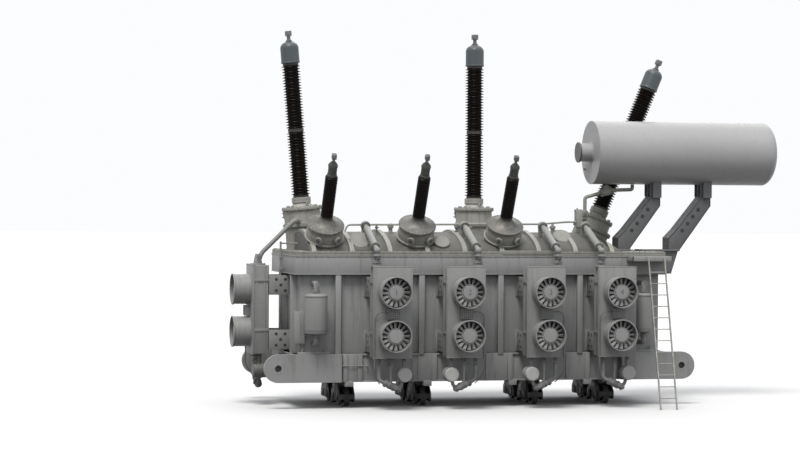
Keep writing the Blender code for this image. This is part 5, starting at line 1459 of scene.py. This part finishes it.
class TRANSFORMER_OT_pumps(bpy.types.Operator):
    """Oil pumps, valves and flanged pipes under each cooler"""

    bl_idname = "transformer.pumps"
    bl_label = "Pumps"

    def execute(self, context):
        for i, (place, hand) in enumerate(cooler_spots(), 1):
            self.pump(i, place, hand)
        return {"FINISHED"}

    def pump(self, number, place, hand):
        """Pump drum, sloping motor, their pipes and the three valves above."""
        form = Form(place)
        top = COOLER_BOTTOM + 0.02 - COVER_SEAM
        y = -COOLER_STANDOFF - COOLER_DEPTH / 2
        motor_x = hand * PUMP_OFFSET
        low_end = Vector((hand * 0.20, y, 0.56))
        high_end = Vector((-hand * 0.14, y, 0.71))
        run = (high_end - low_end).normalized()
        form.finish = 1
        disc = shift(motor_x, y, PUMP_Z) @ FRONT
        form.drum(0.185, -0.18, 0.18, disc, 48, 0.012)
        form.drum(0.16, 0.17, 0.186, disc, 40, 0.006)
        form.bolt_ring(0.165, 10, 0.180, 0.009, disc, 0.008)
        form.finish = 0
        form.drum(0.20, -0.06, -0.03, disc, 48)
        form.drum(0.20, 0.03, 0.06, disc, 48)
        form.tube([(motor_x, y, PUMP_Z), (motor_x, y, top - 0.1)], 0.05, 0, 20)
        form.tube([low_end + run * 0.05, (hand * 0.28, y, 0.62), (motor_x, y, PUMP_Z)], 0.045, 0.08, 20)
        form.tube([low_end, high_end], 0.085, 0, 32)
        elbow = [
            (0, -0.088), (0.044, -0.076), (0.076, -0.044), (0.088, 0), (0.076, 0.044), (0.044, 0.076),
            (0, 0.088),
        ]
        form.lathe(elbow, shift(*low_end), 28)
        drain_x = -hand * 0.32
        form.tube([high_end, (drain_x, y, 0.80), (drain_x, y, 1.0)], 0.05, 0.08, 20)
        form.tube([(0, y, 1.1), (0, y, 0.66)], 0.04, 0, 20)
        rims = ((0.0, 0.10), (0.30, 0.105), (0.38, 0.105), (0.72, 0.10), (1.0, 0.105), (1.09, 0.09))
        for share, radius in rims:
            form.flange(radius, -0.013, 0.013, aimed(low_end.lerp(high_end, share), run), 8, 0.010)
        motor = aimed(low_end.lerp(high_end, 0.42), run)
        for i in range(18):
            form.block((0.08, -0.004, 0.01), (0.096, 0.004, 0.09), 0, motor @ turn(i * 20, "Z"))
        form.block((-0.06, -0.12, -0.04), (0.05, -0.07, 0.06), 0.006, shift(*low_end.lerp(high_end, 0.2)))
        for x, deep in ((motor_x, 0.24), (0, 0.36), (drain_x, 0.36)):
            stub = shift(x, y, top)
            form.finish = 0
            form.flange(0.088, -0.025, 0, stub, 8, 0.010)
            form.lathe([
                (0, -0.02), (0.034, -0.02), (0.034, -0.042), (0.054, -0.055), (0.062, -0.085),
                (0.054, -0.115), (0.034, -0.128), (0.034, -0.142), (0.066, -0.145), (0.066, -0.165),
                (0.034, -0.17), (0.036, -0.19), (0.050, -0.205), (0.056, -0.23), (0.056, -deep), (0, -deep),
            ], stub, 28)
            form.flange(0.070, -0.20, -0.186, stub, 6, 0.008)
            form.finish = 2
            form.drum(0.012, 0.05, 0.13, stub @ shift(z=-0.085) @ FRONT, 10)
            form.block(
                (-0.045, -0.007, 0.122), (0.045, 0.007, 0.132), 0.002,
                stub @ shift(z=-0.085) @ FRONT @ turn(30, "Z"),
            )
        finishes = ["valve_finish"] * 3 if number == 5 else ["cooler_finish", "pump_finish", "valve_finish"]
        form.stand_for(f"cooler_pump_{number}", finishes)


class TRANSFORMER_OT_risers(bpy.types.Operator):
    """Oil pipes from the cooler tops to the cover"""

    bl_idname = "transformer.risers"
    bl_label = "Risers"

    def execute(self, context):
        foot = Vector((0, riser_points()[0].y, COOLER_TOP - 0.02 + COVER_SEAM))
        for i, (x, hand) in enumerate(zip(COOLER_X, COOLER_HANDS), 1):
            self.riser(i, shift(x=x - hand * RISER_OFFSET), [foot, *riser_points()], 0.88)
        points = end_riser_points()
        self.riser(5, None, [points[0] + UP * COVER_SEAM, *points[1:]], 0.80)
        return {"FINISHED"}

    def riser(self, number, place, points, reach):
        """Valve at the foot, a ball elbow and the padded run up to the cover's joint."""
        form = Form(place)
        foot, elbow, far = points[:3]
        end = points[-1]
        run = (far - elbow).normalized()
        last = (end - points[-2]).normalized()
        form.tube([*points[:-1], end - last * COVER_SEAM], 0.062, 0.10, 20)
        form.finish = 1
        form.drum(0.080, 0.165, 0.27, shift(*foot), 28, 0.03)
        wheel = shift(foot.x, foot.y, foot.z + 0.21) @ FRONT
        form.drum(0.014, 0.05, 0.17, wheel, 10)
        form.ring(0.045, 0.057, 0.155, 0.17, wheel, 24)
        form.finish = 0
        sleeve = aimed(elbow, run)
        length = (far - elbow).length
        if number == 5:
            cone = [(0, 0), (0.15, 0), (0.15, 0.02), (0.12, 0.03), (0.10, 0.16), (0.068, 0.29), (0, 0.29)]
            form.lathe(cone, shift(*foot), 32)
            form.flange(0.085, -0.02, 0, aimed(end - last * COVER_SEAM, last), 6, 0.009)
            form.flange(0.21, 0.0, 0.03, shift(*foot), 10, 0.012)
        else:
            form.lathe(ball_profile(0.092), shift(*elbow), 32)
            form.drum(0.092, length * 0.16, length * reach, sleeve, 36, 0.012)
            form.flange(0.125, length * 0.16 - 0.02, length * 0.16 + 0.012, sleeve, 8, 0.010)
            form.flange(0.13, -0.04, 0, aimed(end - last * COVER_SEAM, last), 8, 0.012)
            for radius, low in ((0.175, 0), (0.13, 0.03), (0.12, 0.10), (0.12, 0.135), (0.11, 0.28)):
                form.flange(radius, low, low + 0.03, shift(*foot), 8, 0.012)
        form.stand_for(f"cooler_riser_{number}", ["cooler_finish", "valve_finish"])


def ball_profile(radius):
    turns = [math.pi * i / 12 for i in range(13)]
    return [(radius * math.sin(t), -radius * math.cos(t)) for t in turns]


class TRANSFORMER_OT_conservator(bpy.types.Operator):
    """Oil conservator with its ends, drum, supports and oil pipe"""

    bl_idname = "transformer.conservator"
    bl_label = "Conservator"

    def execute(self, context):
        place = shift(CONSERVATOR_LEFT, CONSERVATOR_Y, CONSERVATOR_Z) @ ALONG
        self.shell(place)
        self.ends(place)
        for i, foot in enumerate(STRUT_FOOT_X, 1):
            self.strut(i, foot)
        self.oil_pipe()
        return {"FINISHED"}

    def shell(self, place):
        """Open tube with two weld seams."""
        form = Form(place)
        inner, outer = CONSERVATOR_RADIUS - 0.012, CONSERVATOR_RADIUS - 0.003
        low, high = 0.02 + COVER_SEAM, CONSERVATOR_LENGTH - COVER_SEAM
        form.lathe([(outer, low), (outer, high), (inner, high), (inner, low)], None, 128, ring=True)
        for seam in (1.73, 3.47):
            bead = [(outer - 0.002, seam - 0.01), (outer + 0.003, seam), (outer - 0.002, seam + 0.01)]
            form.lathe(bead, None, 128, ring=True)
        form.drum(0.035, 0, 0.05, shift(0, 0.30, 1.2), 16)
        form.stand_for("conservator_shell", ["conservator_finish"])

    def ends(self, place):
        """Flat left end with its drum, and dished right end."""
        radius = CONSERVATOR_RADIUS
        form = Form(place)
        form.lathe([
            (0, 0.02), (radius - 0.005, 0.02), (radius, 0.014), (radius, 0.006), (radius - 0.005, 0.0),
            (0.30, 0.0), (0.29, -0.010), (0, -0.010),
        ], None, 128)
        form.drum(0.25, -0.36, 0.0, None, 64)
        form.drum(0.27, -0.03, -0.005, None, 64)
        form.finish = 1
        form.drum(0.28, -0.345, -0.333, None, 64)
        form.drum(0.28, -0.38, -0.349, None, 64, 0.006)
        form.finish = 2
        form.bolt_ring(0.265, 20, -0.333, 0.010, None, 0.010)
        form.bolt_ring(0.255, 20, 0.38, 0.010, turn(180, "X"), 0.008)
        form.drum(0.03, -0.05, 0.004, shift(0.45, 0.5, 0), 16)
        form.stand_for(
            "conservator_left_end", ["conservator_finish", "strut_finish", "bolt_finish"],
        )
        form = Form(place @ shift(z=CONSERVATOR_LENGTH))
        steps = 20
        dish = [(0, 0), (radius, 0)]
        for i in range(1, steps + 1):
            t = math.pi / 2 * i / steps
            dish.append((radius * max(0.0, math.cos(t)) ** 0.55, CONSERVATOR_DISH * math.sin(t)))
        form.lathe(dish, None, 128)
        form.stand_for("conservator_right_end", ["conservator_finish"])

    def strut(self, number, left):
        """Box girder of two plates and flanges, with a head block up to the shell."""
        form = Form()
        low_y, high_y = CONSERVATOR_Y - STRUT_HALF_WIDTH, CONSERVATOR_Y + STRUT_HALF_WIDTH
        outline = [
            (left, STRUT_FOOT_Z), (left + 0.32, STRUT_FOOT_Z), (left + 1.22, STRUT_SHOULDER_Z),
            (left + 1.22, STRUT_HEAD_Z), (left + 0.98, STRUT_HEAD_Z), (left + 0.22, 4.72), (left, 4.50),
        ]
        for y in (low_y, high_y - 0.02):
            form.slab(outline, y + 0.012, y + 0.022, "Y", 0.003)
        form.slab(inset(outline, 0.03), low_y + 0.03, high_y - 0.03, "Y")
        # Flange rims in a much darker copy of the supports' paint: painted shade along them
        form.finish = 1
        for start, end in zip(outline, outline[1:] + outline[:1]):
            start, end = Vector(start), Vector(end)
            run = (end - start).normalized() * 0.016
            inner = Vector((-run.y, run.x))
            form.slab([start, end, end + inner, start + inner], low_y, high_y, "Y")
        # Black discs on the web: painted shade that stands for its openings
        form.finish = 3
        start, end = Vector((left + 0.34, 4.62)), Vector((left + 0.98, 5.42))
        for share in (0.10, 0.34, 0.58, 0.82):
            u, v = start.lerp(end, share)
            form.drum(0.055, -0.001, 0.004, shift(u, low_y + 0.012, v) @ FRONT, 20, 0.001)
        form.finish = 0
        self.saddle(form, left + 0.98, low_y, high_y)
        self.foot(form, left, low_y, high_y)
        form.stand_for(
            f"conservator_strut_{number}", ["strut_finish", "strut_rim_finish", "bolt_finish", "hose_finish"],
        )

    def saddle(self, form, left, low_y, high_y):
        """Head block with a curved top that fits the shell."""
        reach = CONSERVATOR_RADIUS + COVER_SEAM
        low, high = low_y - 0.10, high_y + 0.10
        outline = [(low, 5.60), (high, 5.60)]
        steps = 16
        for i in range(steps + 1):
            y = high + (low - high) * i / steps
            outline.append((y, CONSERVATOR_Z - math.sqrt(reach**2 - (y - CONSERVATOR_Y) ** 2)))
        form.slab(outline, left, left + 0.24, "X")
        for y in (low + 0.1, CONSERVATOR_Y, high - 0.1):
            top = CONSERVATOR_Z - math.sqrt(reach**2 - (abs(y - CONSERVATOR_Y) + 0.02) ** 2)
            form.block((left - 0.05, y - 0.008, 5.64), (left + 0.001, y + 0.008, top - 0.01), 0.002)

    def foot(self, form, left, low_y, high_y):
        """Foot plate on the cover's flange, carried out past the tank's end on gussets where it has to be."""
        flange = FLANGE_TOP + COVER_SEAM
        top = STRUT_FOOT_Z + 0.03
        right = TANK_LENGTH / 2 - 0.02
        if left > right:
            wall = TANK_LENGTH / 2 + COVER_SEAM
            low = flange - 0.62
            form.block((right - 0.30, low_y - 0.05, flange), (left + 0.32, high_y + 0.05, top))
            gusset = [(wall, flange + 0.01), (wall, low), (left + 0.10, low), (left + 0.30, flange + 0.01)]
            for y in (low_y + 0.04, CONSERVATOR_Y - 0.01, high_y - 0.06):
                form.slab(gusset, y, y + 0.02, "Y", 0.003)
            form.block((wall, low_y + 0.04, low), (TANK_LENGTH / 2 + 0.02, high_y - 0.04, flange), 0.003)
            form.block((wall, low_y + 0.04, low), (left + 0.11, high_y - 0.04, flange - 0.60), 0.003)
        else:
            form.block((left - 0.02, low_y - 0.05, flange), (left + 0.38, high_y + 0.05, top))
            form.finish = 2
            rows = (low_y, CONSERVATOR_Y - 0.08, CONSERVATOR_Y + 0.08, high_y)
            form.bolts([(left + 0.35, y, top) for y in rows], 0.018, 0.02)
            form.finish = 0

    def oil_pipe(self):
        """Pipe from the cover to the shell, with its valve and relay."""
        form = Form()
        y = CONSERVATOR_Y
        foot = Vector((OIL_PIPE_X, y, OIL_PIPE_FOOT_Z + COVER_SEAM))
        first = Vector((OIL_PIPE_X, y, OIL_PIPE_ELBOW_Z))
        second = Vector((OIL_PIPE_END_X - 0.6, y, OIL_PIPE_RUN_Z[0]))
        last = Vector((OIL_PIPE_END_X, y, OIL_PIPE_RUN_Z[1]))
        top = Vector((OIL_PIPE_END_X, y, CONSERVATOR_Z - CONSERVATOR_RADIUS - COVER_SEAM))
        run = (second - first).normalized()
        form.tube([foot, first, second, last, top], 0.05, 0.07, 20)
        middle = first.lerp(second, 0.80)
        relay = aimed(middle, run)
        form.drum(0.11, -0.12, 0.12, relay, 32, 0.02)
        form.flange(0.12, -0.15, -0.12, relay, 8, 0.011)
        form.flange(0.12, 0.12, 0.15, relay, 8, 0.011)
        form.block((-0.07, -0.07, 0.06), (0.07, 0.07, 0.17), 0.012, shift(*middle))
        form.drum(0.03, 0.16, 0.20, shift(*middle), 16)
        form.flange(0.11, 0, 0.03, shift(*foot), 8, 0.011)
        for z in (5.02, 5.10):
            form.flange(0.095, -0.014, 0.014, shift(OIL_PIPE_X, y, z), 8, 0.010)
        form.drum(0.075, 5.12, 5.24, shift(OIL_PIPE_X, y, 0), 24, 0.02)
        wheel = shift(OIL_PIPE_X, y, OIL_VALVE_Z) @ FRONT
        form.drum(0.012, 0, 0.13, wheel, 10)
        form.ring(0.05, 0.062, 0.12, 0.135, wheel)
        form.block((-0.055, -0.006, 0.122), (0.055, 0.006, 0.133), 0.002, wheel)
        form.stand_for("conservator_pipe", ["cover_finish"])


def inset(outline, amount):
    """The outline moved in towards its middle by about an amount."""
    middle = Vector((sum(u for u, _ in outline) / len(outline), sum(v for _, v in outline) / len(outline)))
    points = []
    for u, v in outline:
        away = Vector((u, v)) - middle
        points.append(tuple(middle + away * (1 - amount / away.length)))
    return points


class TRANSFORMER_OT_filters(bpy.types.Operator):
    """Upright oil filters on the front wall, with their valves and pipes"""

    bl_idname = "transformer.filters"
    bl_label = "Filters"

    def execute(self, context):
        for i, (x, radius) in enumerate(FILTERS, 1):
            self.vessel(i, x, radius)
        return {"FINISHED"}

    def vessel(self, number, x, radius):
        """Domed vessel with two bands and a pipe to the wall above and below."""
        form = Form(shift(x, FILTER_Y, FILTER_BOTTOM))
        top = FILTER_HEIGHT
        wall = -FILTER_Y - TANK_WIDTH / 2 + WALL_RECESS - COVER_SEAM
        profile = [(0, -0.06)]
        for i in range(9):
            t = math.pi / 2 * i / 8
            profile.append((radius * (0.25 + 0.75 * math.sin(t) ** 0.8), -0.06 * math.cos(t)))
        profile += [(radius, 0.0), (radius, top)]
        for i in range(9):
            t = math.pi / 2 * (1 - i / 8)
            profile.append((radius * (0.25 + 0.75 * math.sin(t) ** 0.8), top + 0.06 * math.cos(t)))
        profile.append((0, top + 0.06))
        form.lathe(profile, None, 56)
        for z in (0.03, top - 0.05):
            form.ring(radius - 0.004, radius, z, z + 0.03, None, 56)
        high = top + 0.06 + 0.26
        low = -0.06 - 0.26
        form.tube([(0, 0, top), (0, 0, high), (0, wall, high)], 0.065, 0.12, 20)
        form.tube([(0, 0, 0), (0, 0, low), (0, wall, low)], 0.065, 0.12, 20)
        for z in (top + 0.08, low + 0.17):
            form.flange(0.10, 0, 0.025, shift(z=z), 8, 0.010)
            form.flange(0.10, 0.032, 0.057, shift(z=z), 8, 0.010)
        wheel = shift(z=high) @ FRONT
        form.drum(0.014, 0, 0.16, wheel, 10)
        form.ring(0.045, 0.058, 0.15, 0.165, wheel)
        form.make(
            f"filter_{number}_detail", ["cooler_finish"],
            stands_for=[f"filter_vessel_{number}"],
        )


class TRANSFORMER_OT_ladder(bpy.types.Operator):
    """Landing and leaning ladder at the right end"""

    bl_idname = "transformer.ladder"
    bl_label = "Ladder"

    def execute(self, context):
        self.landing()
        self.ladder(context.scene.transformer_sizes.rung_pitch)
        return {"FINISHED"}

    def landing(self):
        """Frame, plate, rusty sheet below and four cross bars."""
        form = Form()
        face = -TANK_WIDTH / 2 - COVER_SEAM
        right = TANK_LENGTH / 2
        top = GIRDER_TOP
        outer = LANDING_OUTER
        form.block((LANDING_LEFT, outer, top - 0.13), (LANDING_LEFT + 0.03, face, top), 0.004)
        form.block((right - 0.03, outer, top - 0.13), (right, face, top), 0.004)
        form.block((LANDING_LEFT, outer, top - 0.13), (right, outer + 0.03, top), 0.004)
        form.block((LANDING_LEFT, face - 0.02, top - 0.13), (right, face, top), 0.004)
        form.block(
            (LANDING_LEFT + 0.01, outer + 0.01, top - 0.03), (right - 0.01, face - 0.01, top - 0.002), 0.004,
        )
        form.finish = 1
        form.block(
            (LANDING_LEFT + 0.03, outer + 0.03, top - 0.06), (right - 0.03, face - 0.02, top - 0.032), 0.0,
        )
        for i in range(4):
            x = LANDING_LEFT + 0.2 + i * 0.24
            form.block((x, outer + 0.02, top - 0.12), (x + 0.03, face - 0.01, top - 0.03), 0.003)
        form.stand_for("landing", ["tank_finish", "rust_finish"])

    def ladder(self, pitch):
        """Stiles that lean up to the landing's edge and stand upright beside it, with round rungs."""
        form = Form()
        face = LANDING_OUTER - COVER_SEAM
        foot_y = face - LADDER_RUN
        knee_z, head_z = GIRDER_TOP - 0.13, GIRDER_TOP - 0.02
        outline = [
            (foot_y - 0.025, 0.0), (foot_y + 0.025, 0.0), (face, knee_z), (face, head_z),
            (face - 0.05, head_z), (face - 0.05, knee_z),
        ]
        for x in (LADDER_X, LADDER_X + LADDER_WIDTH):
            form.slab(outline, x - 0.018, x + 0.018, "X", 0.004)
        for i in range(1, int((head_z - pitch) / pitch) + 1):
            z = i * pitch
            y = foot_y + (face - 0.025 - foot_y) * min(1.0, z / knee_z)
            form.drum(0.013, 0, LADDER_WIDTH, shift(LADDER_X, y, z) @ ALONG, 12, 0.002)
        form.make("ladder_detail", ["ladder_finish"], stands_for=["access_ladder"])


class TRANSFORMER_OT_stage(bpy.types.Operator):
    """Plain pale floor, soft light and the camera at the photograph's angle"""

    bl_idname = "transformer.stage"
    bl_label = "Stage"

    def execute(self, context):
        self.floor(context.scene.transformer_colours.floor)
        self.lights()
        self.camera(context.scene)
        return {"FINISHED"}

    def floor(self, colour):
        """Flat floor that looks pale and throws little light back."""
        mesh = bpy.data.meshes.new("floor")
        corners = [(u * FLOOR_REACH, v * FLOOR_REACH, 0) for u, v in ((-1, -1), (1, -1), (1, 1), (-1, 1))]
        mesh.from_pydata(corners, [], [(0, 1, 2, 3)])
        floor = bpy.data.objects.new("floor", mesh)
        bpy.context.scene.collection.objects.link(floor)
        recipe = Recipe("floor_finish")
        recipe.feed("Base Color", recipe.mix(recipe.seen(), scaled(colour, FLOOR_BOUNCE), rgb(colour)))
        recipe.feed("Roughness", 0.95)
        recipe.feed("Specular IOR Level", 0.0)
        mesh.materials.append(recipe.material)

    def lights(self):
        """Soft sky that brightens upwards, and three wide suns."""
        world = bpy.data.worlds.new("studio")
        bpy.context.scene.world = world
        recipe = Recipe("studio", world)
        recipe.feed("Color", SKY_COLOUR)
        aim = recipe.node("ShaderNodeTexCoord", output="Generated")
        up = recipe.node("ShaderNodeSeparateXYZ", None, {"Vector": aim}, "Z")
        sky = recipe.band(up, 0.0, 1.0) * (SKY_TOP - SKY) + SKY
        recipe.feed("Strength", recipe.seen() * (1 - sky) + sky)
        for name, aim, energy, spread, colour in LAMPS:
            lamp = bpy.data.lights.new(name, "SUN")
            lamp.energy = energy
            lamp.angle = math.radians(spread)
            lamp.color = colour
            shown = bpy.data.objects.new(name, lamp)
            shown.rotation_euler = Vector(aim).to_track_quat("Z", "Y").to_euler()
            bpy.context.scene.collection.objects.link(shown)

    def camera(self, scene):
        """Camera at the photograph's place, angle and focal length."""
        lens = bpy.data.cameras.new("camera")
        lens.sensor_width = SENSOR_WIDTH
        lens.lens = SENSOR_WIDTH * FOCAL_PIXELS / IMAGE_WIDTH
        lens.clip_end = 2000
        camera = bpy.data.objects.new("camera", lens)
        camera.location = TANK_MIDDLE + Vector(CAMERA_PLACE)
        pitch = math.atan((MIDDLE_ROW - HORIZON_ROW) / FOCAL_PIXELS)
        level = Matrix.Rotation(math.pi / 2 - pitch, 4, "X")
        facing = turn(-CAMERA_YAW, "Z") @ level @ turn(CAMERA_ROLL, "Z")
        camera.rotation_euler = facing.to_euler()
        scene.collection.objects.link(camera)
        scene.camera = camera
        scene.view_settings.view_transform = "Standard"


PIECES = (
    TRANSFORMER_OT_tank,
    TRANSFORMER_OT_cover,
    TRANSFORMER_OT_bogies,
    TRANSFORMER_OT_tall_bushings,
    TRANSFORMER_OT_short_bushings,
    TRANSFORMER_OT_coolers,
    TRANSFORMER_OT_fans,
    TRANSFORMER_OT_pumps,
    TRANSFORMER_OT_risers,
    TRANSFORMER_OT_conservator,
    TRANSFORMER_OT_filters,
    TRANSFORMER_OT_ladder,
    TRANSFORMER_OT_stage,
)


class TRANSFORMER_PT_pieces(bpy.types.Panel):
    """Lists the transformer's pieces, sizes and colours"""

    bl_label = "Transformer"
    bl_space_type = "VIEW_3D"
    bl_region_type = "UI"
    bl_category = "Transformer"

    def draw(self, context):
        layout = self.layout
        for group in (context.scene.transformer_sizes, context.scene.transformer_colours):
            for name in group.__annotations__:
                layout.prop(group, name)
        for piece in PIECES:
            layout.operator(piece.bl_idname)


CLASSES = (TransformerColours, TransformerSizes, *PIECES, TRANSFORMER_PT_pieces)


def register():
    for part in CLASSES:
        bpy.utils.register_class(part)
    bpy.types.Scene.transformer_colours = bpy.props.PointerProperty(type=TransformerColours)
    bpy.types.Scene.transformer_sizes = bpy.props.PointerProperty(type=TransformerSizes)


def unregister():
    del bpy.types.Scene.transformer_sizes
    del bpy.types.Scene.transformer_colours
    for part in reversed(CLASSES):
        bpy.utils.unregister_class(part)


def main():
    register()
    for piece in PIECES:
        name = piece.bl_idname.split(".")[1]
        getattr(bpy.ops.transformer, name)()


if __name__ == "__main__":
    main()
